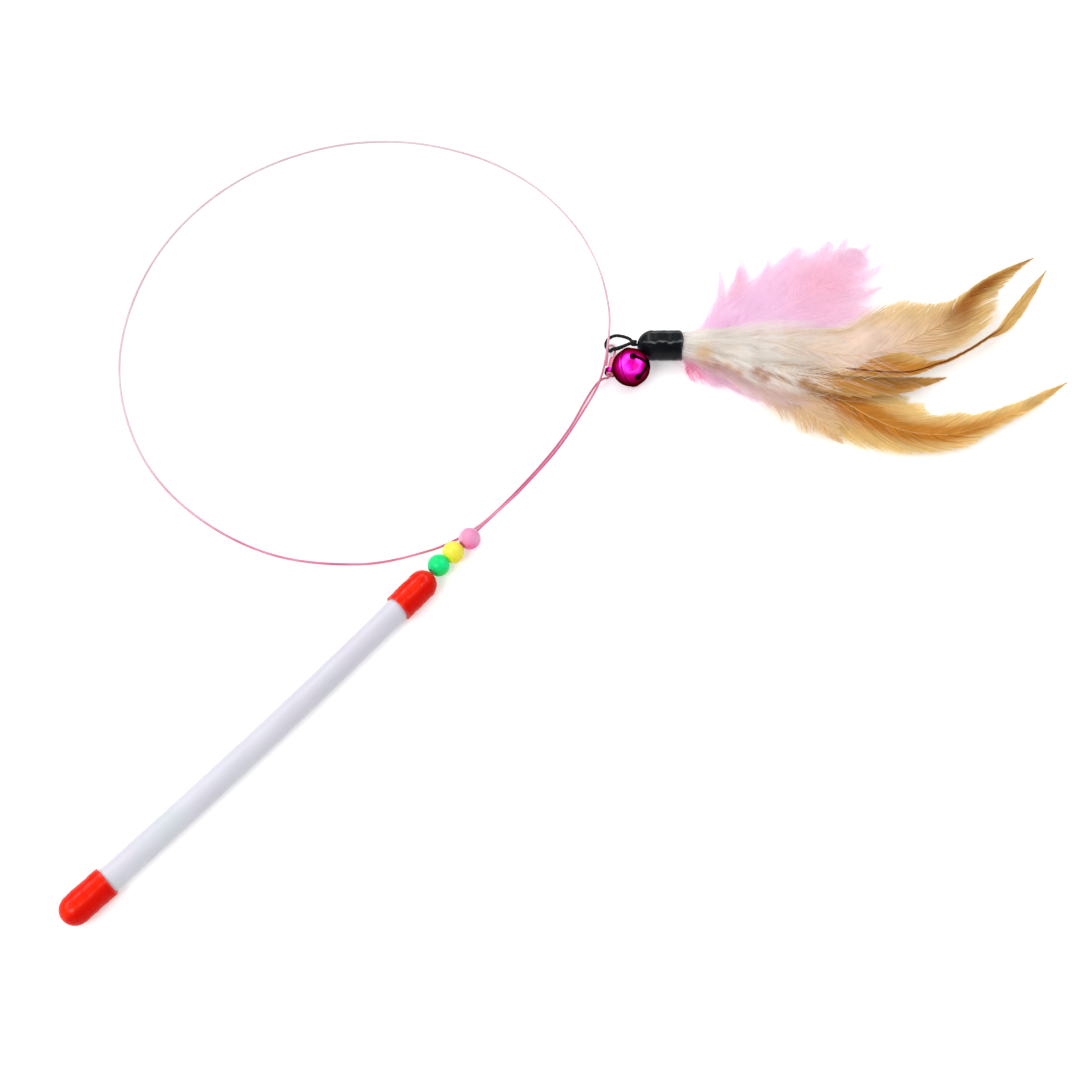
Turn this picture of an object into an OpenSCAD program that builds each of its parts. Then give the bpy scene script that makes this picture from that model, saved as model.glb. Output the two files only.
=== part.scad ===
/* [Handle] */
// Length of bare tube between the mouths of its two end caps
handle_grip = 133; // [100:1:200]
// How far the middle of the tube stands off the straight line between the mouths
handle_bow = 0.9; // [0.3:0.1:3]
// Outside diameter of the handle tube
handle_d = 9; // [8:0.1:12]
// Wall of the handle tube
handle_wall = 1; // [0.8:0.1:1.4]

/* [End caps] */
// Length of a red cap, from its mouth to the top of its dome
cap_len = 18; // [14:0.5:24]
// Wall of a red cap
cap_wall = 1; // [0.7:0.1:1.5]
// How much smaller in radius a cap is moulded than the tube that stretches it
cap_stretch = 0.05; // [0.02:0.01:0.1]

/* [Wire] */
// Diameter of the coated spring wire
wire_d = 0.9; // [0.7:0.05:1]
// Clearance round the wire in the plug and the tip cap
wire_clearance = 0.12; // [0.1:0.02:0.3]
// Length of the plug that holds the wire in the tube
plug_len = 11; // [8:0.5:12]
// Thickness of the plug's flange, which sits on the end of the tube
plug_flange = 1.2; // [0.8:0.1:1.6]

/* [Beads] */
// Diameter of a bead
bead_d = 8.2; // [8:0.1:9]
// Length of a bead along the wire
bead_len = 7.4; // [6.4:0.1:7.4]
// Diameter of the hole through a bead
bead_hole_d = 2; // [1.9:0.1:2.2]
// Depth of the countersink at each end of a bead's hole
bead_sink = 0.3; // [0.2:0.1:0.4]

/* [Sleeve on the wire's eye] */
// Length of the sleeve that the bell turns on
sleeve_len = 8; // [6:0.1:8]
// Outside diameter of the sleeve
sleeve_d = 3; // [2.4:0.1:3.1]
// Bore of the sleeve
sleeve_bore_d = 1.4; // [1.3:0.1:1.5]

/* [Bell] */
// Diameter of the bell's shell
bell_d = 15.2; // [13:0.1:15.6]
// Thickness of the bell's sheet metal
bell_wall = 0.5; // [0.4:0.05:0.8]
// How far the crimped seam stands proud of the shell
seam_proud = 0.3; // [0.2:0.05:0.4]
// Height of the crimped seam
seam_h = 0.8; // [0.5:0.1:1.2]
// Width of the cross slots
slot_w = 1.5; // [1:0.1:2]
// Diameter of the round ends of the slots
slot_end_d = 3; // [2.4:0.1:3.5]
// Angle from the bottom of the bell to the round ends of the slots
slot_reach_angle = 52; // [40:1:58]
// Diameter of the loose ball in the bell
pea_d = 4; // [3.6:0.1:4.8]
// Thickness of the bell's ear
ear_t = 0.6; // [0.4:0.05:0.7]
// Width of the strip that the ear is bent from
ear_w = 1.8; // [1.2:0.1:2]
// Clearance between the ear and the sleeve
ear_clearance = 0.15; // [0.1:0.01:0.2]

/* [Elastic cord] */
// Diameter of the elastic cord
cord_d = 1.2; // [1:0.1:1.2]
// Clearance between the elastic cord and its hole in the feather cap
exit_clearance = 0.3; // [0.1:0.05:0.4]
// Diameter of the knot outside the feather cap
knot_d = 2.4; // [2:0.1:2.6]
// Diameter of the stopper knot inside the feather cap
stopper_d = 4; // [3:0.1:5]
// Length of the stopper knot
stopper_len = 2.4; // [1.6:0.1:3]

/* [Feather cap] */
// Outside diameter of the black cap
ferrule_d = 12.2; // [11:0.1:12.4]
// Wall of the black cap
ferrule_wall = 1.1; // [0.8:0.1:1.4]
// Length of the black cap, from the top of its dome to its mouth
ferrule_len = 17.8; // [16:0.1:22]
// Length of the thread that binds the quills
binding_len = 7; // [4:0.5:8]
// Thickness of the thread
thread_d = 0.6; // [0.5:0.05:0.8]

/* [Feathers] */
// Distance from the black cap's dome to the farthest feather tips
feather_reach = 160; // [130:1:180]
// Thickness of a quill
quill_d = 0.8; // [0.6:0.05:0.9]
// Thickness of a vane at its edge
vane_edge = 0.3; // [0.2:0.05:0.4]

/* [Hidden] */

// Facets of round surfaces
round_fn = 64;
$fn = round_fn;
// One overrun serves every cut
overrun = 0.5;
// Gap between pieces that rest against each other
seat_gap = 0.05;
// Gap between the floor and what hangs free just above it
floor_gap = 0.2;

// The handle's axis lies along X at the mouth of the butt cap, and the caps lie on the floor
cap_bore_r = handle_d / 2 - cap_stretch;
cap_r = handle_d / 2 + cap_wall;
cap_straight = cap_len - cap_r;
floor_z = -cap_r;

// The tube is an arc through both mouths
bow_r = (handle_grip * handle_grip / 4 + handle_bow * handle_bow) / (2 * handle_bow);
bow_angle = 2 * asin(handle_grip / 2 / bow_r);
// Enough facets on the long arc to follow it closely
bow_fn = 1440;
tube_bore_r = handle_d / 2 - handle_wall;
// The tube goes on inside each cap, as far as the dome
tube_end = cap_straight - seat_gap;
end_angle = asin(tube_end / bow_r);

// Where the wire leaves the tip cap: a little off the handle's axis, and leaning across it
stem_offset = 0.8;
stem_lean = -1.8;

// Places along the straight wire, from the dome of the tip cap, and each bead's sag on the wire
bead_gap = 0.1;
bead_step = bead_len + bead_gap;
green_x = bead_len / 2 + 0.1 * bead_len;
yellow_x = green_x + bead_step;
pink_x = yellow_x + bead_step + 0.1 * bead_len;
bead_slack = (bead_hole_d - wire_d) / 2;
green_sag_shares = [0.65, -0.3];
yellow_sag_shares = [0.45, -0.55];
pink_sag_shares = [-0.3, -0.6];

// Route of the wire, from its bent foot in the tube to the neck of its eye
wire_route = [
    [-20, -4, 0], [-19.6, -0.8, 0], [-17.5, 0, 0], [-14, 0, 0], [40, 0, 0], [47, 0, 0], [70, 2, 0],
    [90, 6.4, 0], [106, 11.5, 0], [122, 21.4, 0], [136, 33.5, -0.8], [151, 54, -2], [161, 78, -3.3],
    [164.8, 106, -4.5], [160, 134, -5], [144, 163.5, -5], [118, 186, -5], [84, 198.5, -5],
    [47, 198, -5], [12, 184.5, -5], [-18, 159.5, -5], [-37, 125, -5], [-42, 90, -5], [-34, 53, -5],
    [-14, 24.5, -5], [8, 9.2, -5], [24, 3.7, -5], [40, 2.6, -5], [66, 4.3, -5], [84, 7.3, -4.8],
    [99, 11.6, -4.3], [106, 12.9, -3.8], [109.5, 12.4, -3.5]
];
// The eye at the wire's end: its first leg, which the bell turns on, its bend and its
// second leg, in a frame along the first leg
eye_at = [114.24, 12.96, -3.4];
eye_heading = 31;
eye_route = [
    [-4, 0.6, 0], [-2.3, 0, 0], [9.6, 0, 0], [11.3, 0.5, 0.1], [11.9, 1.6, 0.3], [11.1, 2.8, 0.6],
    [9.6, 3.1, 0.7], [5.6, 2.4, 0.6], [1.6, 2.1, 0.4]
];
wire_sides = 8;
wire_steps = 2;
// Index of the route's last place on the straight run that the beads slide on
run_end = 5;
sleeve_start = -2.2;
bell_along = -0.9;

// Route of the elastic cord in the frame of the wire's eye: from the knot over the first leg,
// down through the eye, under the bend and back
loop_route = [
    [11.7, -5.4, 3.7], [11.1, -3.9, 3], [10.4, -2.35, 2.3], [9.8, -1, 1.8], [9.6, 0, 1.55],
    [9.55, 1, 1.1], [9.5, 1.5, 0.3], [9.6, 1.7, -0.5], [10, 2.35, -1.1], [10.9, 3.2, -1.35],
    [12, 4.1, -1.2], [13.3, 4.35, -0.7], [14.6, 3.85, 0], [15.6, 2.6, 0.8], [16, 0.85, 1.6],
    [15.6, -1.3, 2.4], [14.85, -3.45, 3.1], [14, -5, 3.6], [13.2, -5.75, 3.8]
];
loop_sides = 8;
loop_steps = 2;
// The knot's place beside the black cap's dome
knot_offset = 1.2;
cord_exit_d = cord_d + 2 * exit_clearance;

// The bell rests on the floor and hangs on the sleeve by its ear
bell_r = bell_d / 2;
bell_inner_r = bell_r - bell_wall;
ear_inner_r = sleeve_d / 2 + ear_clearance;
ear_outer_r = ear_inner_r + ear_t;
bell_hang = bell_r + ear_outer_r + seat_gap;
bell_lift = asin((floor_z + bell_r + floor_gap - eye_at[2]) / bell_hang);
pea_r = pea_d / 2;

// The black cap lies on the floor too; its frame starts at the dome's top
ferrule_r = ferrule_d / 2;
ferrule_bore_r = ferrule_r - ferrule_wall;
lure_at = [128.15, 11.4, floor_z + ferrule_r + floor_gap / 2];
lure_heading = -47.15;
knot_centre = [-knot_d / 2 - seat_gap * 3, knot_offset, 0];
stopper_x = ferrule_wall + stopper_len;
binding_x = ferrule_len - binding_len - 2 * thread_d;
binding_inner_r = ferrule_bore_r - thread_d - seat_gap;
quill_x = binding_x - thread_d;

// Each feather's place in the binding, as shares of the binding's inner radius
ginger_1_slot_shares = [0.15, 0.32];
ginger_2_slot_shares = [-0.1, 0.08];
ginger_3_slot_shares = [0.1, -0.62];
ginger_4_slot_shares = [-0.45, -0.14];
ginger_5_slot_shares = [-0.38, -0.62];
white_1_slot_shares = [0, 0.8];
white_2_slot_shares = [-0.3, 0.56];
white_3_slot_shares = [0.15, -0.32];
pink_1_slot_shares = [0.55, -0.1];
pink_2_slot_shares = [0.6, -0.42];
pink_3_slot_shares = [-0.15, -0.82];

// Stations along each feather as shares of the reach: place along, across and up, then the
// widths of the vane to its left and its right
ginger_1_shares = [
    [0.2, 0, 0.009, 0.02, 0.02], [0.31, -0.01, 0.009, 0.045, 0.035],
    [0.43, -0.022, 0.009, 0.06, 0.045], [0.534, -0.039, 0.011, 0.08, 0.05],
    [0.6, -0.03, 0.015, 0.105, 0.05], [0.652, -0.012, 0.019, 0.112, 0.05],
    [0.7, 0.01, 0.023, 0.118, 0.055], [0.734, 0.028, 0.026, 0.112, 0.062],
    [0.765, 0.047, 0.029, 0.08, 0.07], [0.79, 0.067, 0.032, 0.055, 0.076],
    [0.82, 0.1, 0.035, 0.026, 0.076], [0.851, 0.136, 0.039, 0.013, 0.072],
    [0.88, 0.158, 0.042, 0.012, 0.055], [0.89, 0.165, 0.042, 0.012, 0.036],
    [0.916, 0.181, 0.045, 0.012, 0.03], [0.96, 0.207, 0.048, 0.008, 0.016],
    [1.016, 0.236, 0.052, 0.001, 0.001]
];
ginger_2_shares = [
    [0.2, -0.01, 0.002, 0.012, 0.012], [0.341, -0.039, 0.002, 0.025, 0.02],
    [0.48, -0.068, 0.003, 0.04, 0.02], [0.56, -0.084, 0.004, 0.05, 0.018],
    [0.607, -0.093, 0.005, 0.056, 0.015], [0.657, -0.097, 0.007, 0.058, 0.012],
    [0.69, -0.091, 0.009, 0.048, 0.01], [0.71, -0.084, 0.01, 0.03, 0.008],
    [0.73, -0.076, 0.011, 0.012, 0.006], [0.764, -0.062, 0.012, 0.005, 0.005],
    [0.82, -0.028, 0.015, 0.004, 0.004], [0.878, 0.014, 0.017, 0.004, 0.005],
    [0.906, 0.033, 0.02, 0.006, 0.012], [0.93, 0.062, 0.021, 0.008, 0.02],
    [0.965, 0.104, 0.023, 0.01, 0.018], [1.005, 0.153, 0.025, 0.01, 0.012],
    [1.052, 0.215, 0.027, 0.001, 0.001]
];
ginger_3_shares = [
    [0.14, -0.008, -0.0245, 0.005, 0.005], [0.2, -0.02, -0.025, 0.015, 0.015],
    [0.307, -0.05, -0.025, 0.03, 0.035], [0.41, -0.098, -0.025, 0.05, 0.06],
    [0.5, -0.148, -0.025, 0.07, 0.085], [0.568, -0.198, -0.025, 0.088, 0.085],
    [0.628, -0.231, -0.024, 0.092, 0.068], [0.655, -0.24, -0.024, 0.068, 0.06],
    [0.69, -0.247, -0.023, 0.086, 0.051], [0.715, -0.249, -0.023, 0.058, 0.047],
    [0.753, -0.249, -0.022, 0.053, 0.042], [0.8, -0.238, -0.02, 0.056, 0.036],
    [0.835, -0.227, -0.019, 0.036, 0.025], [0.893, -0.204, -0.017, 0.03, 0.014],
    [0.95, -0.175, -0.014, 0.02, 0.012], [1, -0.144, -0.011, 0.014, 0.01],
    [1.06, -0.106, -0.008, 0.001, 0.001]
];
ginger_4_shares = [
    [0.2, -0.014, -0.004, 0.01, 0.014], [0.34, -0.055, -0.004, 0.02, 0.035],
    [0.45, -0.085, -0.004, 0.028, 0.045], [0.53, -0.103, -0.003, 0.03, 0.046],
    [0.6, -0.114, -0.002, 0.026, 0.036], [0.65, -0.116, -0.001, 0.022, 0.028],
    [0.694, -0.111, 0, 0.015, 0.014], [0.73, -0.104, 0.001, 0.006, 0.01],
    [0.76, -0.099, 0.002, 0.001, 0.001]
];
ginger_5_shares = [
    [0.14, -0.018, -0.019, 0.006, 0.006], [0.2, -0.035, -0.019, 0.012, 0.012],
    [0.28, -0.075, -0.019, 0.03, 0.03], [0.35, -0.125, -0.019, 0.045, 0.05],
    [0.395, -0.165, -0.019, 0.052, 0.058], [0.42, -0.19, -0.018, 0.04, 0.036],
    [0.435, -0.206, -0.018, 0.048, 0.052], [0.455, -0.232, -0.018, 0.03, 0.028],
    [0.49, -0.28, -0.017, 0.001, 0.001]
];
white_1_shares = [
    [0.14, 0, 0.026, 0.028, 0.026], [0.2, -0.002, 0.028, 0.036, 0.038],
    [0.28, -0.004, 0.028, 0.038, 0.05], [0.34, -0.004, 0.028, 0.052, 0.06],
    [0.4, -0.01, 0.027, 0.068, 0.064], [0.45, -0.018, 0.026, 0.06, 0.06],
    [0.5, -0.03, 0.025, 0.036, 0.048], [0.56, -0.045, 0.024, 0.01, 0.022],
    [0.6, -0.052, 0.024, 0.001, 0.001]
];
white_2_shares = [
    [0.14, -0.01, 0.016, 0.024, 0.024], [0.2, -0.028, 0.017, 0.034, 0.036],
    [0.28, -0.058, 0.017, 0.044, 0.05], [0.35, -0.085, 0.017, 0.05, 0.062],
    [0.41, -0.104, 0.017, 0.05, 0.056], [0.47, -0.113, 0.017, 0.04, 0.04],
    [0.53, -0.116, 0.017, 0.02, 0.02], [0.58, -0.118, 0.017, 0.001, 0.001]
];
white_3_shares = [
    [0.14, -0.012, -0.0115, 0.024, 0.026], [0.22, -0.045, -0.0115, 0.04, 0.045],
    [0.3, -0.085, -0.0115, 0.05, 0.058], [0.36, -0.115, -0.0115, 0.05, 0.06],
    [0.41, -0.135, -0.0115, 0.04, 0.048], [0.46, -0.15, -0.0115, 0.022, 0.026],
    [0.5, -0.158, -0.0115, 0.001, 0.001]
];
pink_1_shares = [
    [0.14, 0.022, -0.006, 0.01, 0.01], [0.22, 0.048, -0.008, 0.035, 0.035],
    [0.3, 0.088, -0.008, 0.06, 0.065], [0.37, 0.125, -0.007, 0.075, 0.105],
    [0.43, 0.162, -0.006, 0.078, 0.135], [0.48, 0.195, -0.005, 0.072, 0.135],
    [0.52, 0.228, -0.004, 0.062, 0.11], [0.555, 0.262, -0.003, 0.045, 0.065],
    [0.58, 0.295, -0.002, 0.02, 0.025], [0.59, 0.31, -0.002, 0.001, 0.001]
];
pink_2_shares = [
    [0.13, 0.022, -0.0175, 0.006, 0.006], [0.18, 0.055, -0.0185, 0.022, 0.028],
    [0.215, 0.092, -0.0185, 0.035, 0.045], [0.24, 0.128, -0.0185, 0.038, 0.055],
    [0.255, 0.16, -0.0185, 0.03, 0.045], [0.265, 0.19, -0.0185, 0.018, 0.026],
    [0.272, 0.225, -0.0185, 0.01, 0.012], [0.277, 0.265, -0.0185, 0.001, 0.001]
];
pink_3_shares = [
    [0.13, -0.015, -0.0315, 0.01, 0.012], [0.165, -0.045, -0.033, 0.02, 0.04],
    [0.195, -0.066, -0.033, 0.024, 0.046], [0.225, -0.084, -0.033, 0.028, 0.02],
    [0.28, -0.112, -0.033, 0.03, 0.022], [0.33, -0.138, -0.033, 0.03, 0.026],
    [0.37, -0.158, -0.033, 0.022, 0.018], [0.41, -0.178, -0.033, 0.001, 0.001]
];
// Thickness of the vanes and the down along their quills, as shares of the reach
vane_share = 0.0045;
hackle_share = 0.008;
plume_share = 0.011;
plume_thin_share = 0.005;
// How full a vane is half-way between its quill and its edge
vane_camber_share = 0.72;

// Vectors
function unit(v) = v / norm(v);
function side_of(v) = unit([-v[1], v[0], 0]);
function turned(v, a) = [v[0] * cos(a) - v[1] * sin(a), v[0] * sin(a) + v[1] * cos(a), v[2]];
function eye_point(p) = eye_at + turned(p, eye_heading);
wire_places = concat(wire_route, [for (p = eye_route) eye_point(p)]);

// A smooth curve through a list of points, with the same number of steps in each stretch
function slope_at(p, i) =
    let (last = len(p) - 1)
    unit(p[min(i + 1, last)] - p[max(i - 1, 0)]);
function between(p, i, u) =
    let (
        reach = norm(p[i + 1] - p[i]),
        a = slope_at(p, i) * reach,
        b = slope_at(p, i + 1) * reach
    )
    (2 * u * u * u - 3 * u * u + 1) * p[i]
    + (u * u * u - 2 * u * u + u) * a
    + (3 * u * u - 2 * u * u * u) * p[i + 1]
    + (u * u * u - u * u) * b;
function smooth(p, steps) = concat(
    [for (i = [0 : len(p) - 2]) for (k = [0 : steps - 1]) between(p, i, k / steps)],
    [p[len(p) - 1]]
);
function route_length(p, i = 0) =
    i >= len(p) - 1 ? 0 : norm(p[i + 1] - p[i]) + route_length(p, i + 1);

// Triangles that join rings of n points into a closed skin
function skin_faces(rings, n) = concat(
    [for (i = [1 : n - 2]) [0, i, i + 1]],
    [for (r = [0 : rings - 2]) for (i = [0 : n - 1])
        [r * n + i, (r + 1) * n + i, (r + 1) * n + (i + 1) % n]],
    [for (r = [0 : rings - 2]) for (i = [0 : n - 1])
        [r * n + i, (r + 1) * n + (i + 1) % n, r * n + (i + 1) % n]],
    [for (i = [1 : n - 2]) [(rings - 1) * n, (rings - 1) * n + i + 1, (rings - 1) * n + i]]
);

// A round tube of one diameter along a route
module swept_cord(route, d, sides, first, last) {
    points = [
        for (i = [first : last])
            let (
                t = slope_at(route, i),
                side = side_of(t),
                up = cross(t, side)
            )
            for (k = [0 : sides - 1])
                route[i] + d / 2 * (cos(360 * k / sides) * side + sin(360 * k / sides) * up)
    ];
    polyhedron(points, skin_faces(last - first + 1, sides));
}

// Frames: the tip cap's mouth, the straight wire from the dome of the tip cap, the straight
// leg of the wire's eye, the bell's centre with its ear up, and the dome of the black cap
module tip_frame() {
    translate([bow_r * sin(bow_angle), bow_r * (1 - cos(bow_angle)), 0])
        rotate([0, 0, bow_angle])
            children();
}
module stem_frame() {
    tip_frame()
        translate([cap_len, stem_offset, 0])
            rotate([0, 0, stem_lean])
                children();
}
module eye_frame() {
    stem_frame()
        translate(eye_at)
            rotate([0, 0, eye_heading])
                children();
}
module bell_frame() {
    eye_frame()
        translate([bell_along, -bell_hang * cos(bell_lift), bell_hang * sin(bell_lift)])
            rotate([-90 - bell_lift, 0, 0])
                children();
}
module lure_frame() {
    stem_frame()
        translate(lure_at)
            rotate([0, 0, lure_heading])
                children();
}

// A dipped cap with a domed end, from its mouth at zero up to its dome
module domed_cap(len, outer_r, bore_r) {
    rotate_extrude()
        difference() {
            cap_outline(len, outer_r, outer_r);
            translate([0, -overrun])
                cap_outline(len - outer_r + bore_r + overrun, bore_r, bore_r);
            translate([-outer_r - overrun, -overrun])
                square([outer_r + overrun, len + 2 * overrun]);
        }
}
module cap_outline(len, r, dome_r) {
    square([r, len - dome_r]);
    translate([0, len - dome_r])
        circle(dome_r);
}

module ring(outer_r, inner_r) {
    difference() {
        circle(outer_r);
        circle(inner_r);
    }
}

// Handle
module handle_tube() {
    color([0.88, 0.88, 0.91])
        translate([0, bow_r, 0])
            rotate([0, 0, -90 - end_angle])
                rotate_extrude(angle = bow_angle + 2 * end_angle, $fn = bow_fn)
                    translate([bow_r, 0])
                        ring(handle_d / 2, tube_bore_r, $fn = round_fn);
}

module butt_cap() {
    color([0.92, 0.12, 0.05])
        rotate([0, -90, 0])
            domed_cap(cap_len, cap_r, cap_bore_r);
}

module tip_cap() {
    color([0.92, 0.12, 0.05])
        difference() {
            tip_frame()
                rotate([0, 90, 0])
                    domed_cap(cap_len, cap_r, cap_bore_r);
            wire_hole(cap_r);
        }
}

// The hole that the straight wire runs in, back from the dome by a given depth
module wire_hole(depth) {
    stem_frame()
        translate([-depth - overrun, 0, 0])
            rotate([0, 90, 0])
                cylinder(h = depth + 2 * overrun + cap_wall, r = wire_d / 2 + wire_clearance);
}

module wire_plug() {
    color([0.93, 0.92, 0.88])
        difference() {
            tip_frame()
                translate([tube_end + seat_gap + plug_flange, 0, 0])
                    rotate([0, -90, 0])
                        plug_turning();
            wire_hole(cap_r + plug_len + plug_flange);
        }
}
module plug_turning() {
    shank_r = tube_bore_r - seat_gap;
    // The flange stays inside the dome at its far side
    flange_r = sqrt(cap_bore_r * cap_bore_r - plug_flange * plug_flange) - 2 * seat_gap;
    cylinder(h = plug_flange, r = flange_r);
    cylinder(h = plug_flange + plug_len - handle_wall, r = shank_r);
    translate([0, 0, plug_flange + plug_len - handle_wall])
        cylinder(h = handle_wall, r1 = shank_r, r2 = shank_r - handle_wall / 2);
}

// The wire: its straight run from the foot in the tube through the beads, then its loop and
// eye, which carry on from the run's last ring
module wire_run() {
    color([0.82, 0.5, 0.6])
        stem_frame()
            swept_cord(smooth(wire_places, wire_steps), wire_d, wire_sides, 0, run_end * wire_steps);
}
module wire() {
    route = smooth(wire_places, wire_steps);
    echo(wire_length = route_length(smooth(wire_places, 4 * wire_steps)));
    color([0.82, 0.5, 0.6])
        stem_frame()
            swept_cord(route, wire_d, wire_sides, run_end * wire_steps, len(route) - 1);
}

module eye_sleeve() {
    color([0.94, 0.52, 0.68])
        eye_frame()
            translate([sleeve_start, 0, 0])
                rotate([0, 90, 0])
                    linear_extrude(sleeve_len)
                        ring(sleeve_d / 2, sleeve_bore_d / 2);
}

// Beads
module bead(along, sag_shares, shade) {
    cone_len = bead_sink + overrun;
    cone_r = bead_hole_d / 2 + cone_len;
    color(shade)
        stem_frame()
            translate([along, sag_shares[0] * bead_slack, sag_shares[1] * bead_slack])
                rotate([0, 90, 0])
                    difference() {
                        intersection() {
                            sphere(d = bead_d);
                            cylinder(h = bead_len, r = bead_d, center = true);
                        }
                        cylinder(h = bead_len + 2 * overrun, d = bead_hole_d, center = true);
                        for (end = [0, 180])
                            rotate([end, 0, 0])
                                translate([0, 0, bead_len / 2 - bead_sink])
                                    cylinder(h = cone_len, r1 = bead_hole_d / 2, r2 = cone_r);
                    }
}
module bead_green() {
    bead(green_x, green_sag_shares, [0.1, 0.9, 0.55]);
}
module bead_yellow() {
    bead(yellow_x, yellow_sag_shares, [0.97, 0.94, 0.25]);
}
module bead_pink() {
    bead(pink_x, pink_sag_shares, [0.98, 0.55, 0.76]);
}

// Bell
module bell_shell() {
    difference() {
        sphere(bell_r);
        sphere(bell_inner_r);
    }
}
module bell_crown() {
    color([0.85, 0.02, 0.58])
        bell_frame() {
            intersection() {
                bell_shell();
                cylinder(h = bell_d, r = bell_d);
            }
            translate([0, 0, -seam_h / 2])
                linear_extrude(seam_h)
                    ring(bell_r + seam_proud, bell_r - seat_gap / 2);
        }
}
module bell_base() {
    color([0.85, 0.02, 0.58])
        bell_frame()
            difference() {
                intersection() {
                    bell_shell();
                    translate([0, 0, -bell_d - seat_gap])
                        cylinder(h = bell_d, r = bell_d);
                }
                // The crimp takes the outer skin of the rim
                translate([0, 0, -seam_h / 2 - seat_gap])
                    linear_extrude(seam_h)
                        ring(bell_d, bell_r - seat_gap);
                for (turn = [0, 90])
                    rotate([0, 0, turn])
                        bell_slot();
            }
}
// One of the two crossed slots, with a round hole at each end
module bell_slot() {
    reach = bell_r * sin(slot_reach_angle);
    translate([-reach, -slot_w / 2, -bell_d])
        cube([2 * reach, slot_w, bell_d - bell_inner_r * cos(slot_reach_angle)]);
    for (lean = [-slot_reach_angle, slot_reach_angle])
        rotate([0, lean, 0])
            translate([0, 0, -bell_d])
                cylinder(h = bell_d - bell_inner_r + 2 * bell_wall, d = slot_end_d);
}
module bell_ear() {
    color([0.85, 0.02, 0.58])
        bell_frame()
            difference() {
                union() {
                    translate([0, 0, bell_hang])
                        rotate([0, 90, 0])
                            cylinder(h = ear_w, r = ear_outer_r, center = true);
                    translate([-ear_w / 2, -ear_t, bell_r - seam_h])
                        cube([ear_w, 2 * ear_t, ear_t + seam_h]);
                }
                translate([0, 0, bell_hang])
                    rotate([0, 90, 0])
                        cylinder(h = ear_w + 2 * overrun, r = ear_inner_r, center = true);
                sphere(bell_r + seat_gap);
            }
}
module bell_pea() {
    color([0.75, 0.75, 0.78])
        bell_frame()
            rotate([90 + bell_lift, 0, 0])
                translate([0, 0, pea_r + 2 * seat_gap - bell_inner_r])
                    sphere(pea_r);
}

// Elastic cord
module elastic_loop() {
    route = smooth(loop_route, loop_steps);
    color([0.06, 0.06, 0.07])
        eye_frame()
            swept_cord(route, cord_d, loop_sides, 0, len(route) - 1);
}
module cord_knot() {
    color([0.06, 0.06, 0.07])
        lure_frame()
            translate(knot_centre)
                sphere(d = knot_d);
}
module cord_tail() {
    color([0.06, 0.06, 0.07])
        lure_frame()
            translate([3 * seat_gap, knot_offset, 0])
                rotate([0, 90, 0]) {
                    cylinder(h = stopper_x, d = cord_d);
                    translate([0, 0, stopper_x])
                        cylinder(h = stopper_len, d = stopper_d);
                }
}

// Feather cap
module feather_cap() {
    color([0.07, 0.08, 0.1])
        lure_frame()
            difference() {
                translate([ferrule_len, 0, 0])
                    rotate([0, -90, 0])
                        domed_cap(ferrule_len, ferrule_r, ferrule_bore_r);
                translate([-overrun, knot_offset, 0])
                    rotate([0, 90, 0])
                        cylinder(h = ferrule_r, d = cord_exit_d);
            }
}
module quill_binding() {
    turns = floor(binding_len / thread_d);
    color([0.85, 0.83, 0.78])
        lure_frame()
            translate([binding_x, 0, 0])
                rotate([0, 90, 0])
                    rotate_extrude() {
                        translate([binding_inner_r, 0])
                            square([thread_d / 2, turns * thread_d]);
                        for (k = [0 : turns - 1])
                            translate([binding_inner_r + thread_d / 2, (k + 1 / 2) * thread_d])
                                circle(d = thread_d, $fn = 16);
                    }
}

// A feather: a quill in the binding, then a vane that follows its stations
module feather(shares, slot_shares, thick_share, shade) {
    slot = binding_inner_r * slot_shares;
    quill = [
        for (x = [quill_x, ferrule_len - thread_d])
            [x, slot[0], slot[1], quill_d / 2, quill_d / 2, quill_d]
    ];
    vane = [for (s = shares) concat(feather_reach * s, [feather_reach * thick_share])];
    stations = concat(quill, vane);
    last = len(stations) - 1;
    places = [for (s = stations) [s[0], s[1], s[2]]];
    points = [
        for (i = [0 : last])
            let (side = side_of(slope_at(places, i)))
            for (p = vane_section(stations[i]))
                places[i] + p[0] * side + [0, 0, p[1]]
    ];
    color(shade)
        lure_frame()
            polyhedron(points, skin_faces(last + 1, 10));
}
// Cross-section of a vane: across from its left edge, and up
function vane_section(s) =
    let (
        left = s[3],
        right = s[4],
        full = min(s[5], left + right + vane_edge) / 2,
        edge = min(vane_edge / 2, full / 2),
        mid = edge + vane_camber_share * (full - edge)
    )
    [
        [left, edge], [left / 2, mid], [0, full], [-right / 2, mid], [-right, edge],
        [-right, -edge], [-right / 2, -mid], [0, -full], [left / 2, -mid], [left, -edge]
    ];

module ginger_feather_1() {
    feather(ginger_1_shares, ginger_1_slot_shares, vane_share, [0.8, 0.6, 0.3]);
}
module ginger_feather_2() {
    feather(ginger_2_shares, ginger_2_slot_shares, vane_share, [0.72, 0.48, 0.18]);
}
module ginger_feather_3() {
    feather(ginger_3_shares, ginger_3_slot_shares, vane_share, [0.8, 0.55, 0.22]);
}
module ginger_feather_4() {
    feather(ginger_4_shares, ginger_4_slot_shares, vane_share, [0.75, 0.5, 0.2]);
}
module ginger_feather_5() {
    feather(ginger_5_shares, ginger_5_slot_shares, vane_share, [0.85, 0.75, 0.58]);
}
module white_feather_1() {
    feather(white_1_shares, white_1_slot_shares, plume_share, [0.9, 0.87, 0.82]);
}
module white_feather_2() {
    feather(white_2_shares, white_2_slot_shares, hackle_share, [0.9, 0.87, 0.82]);
}
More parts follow.
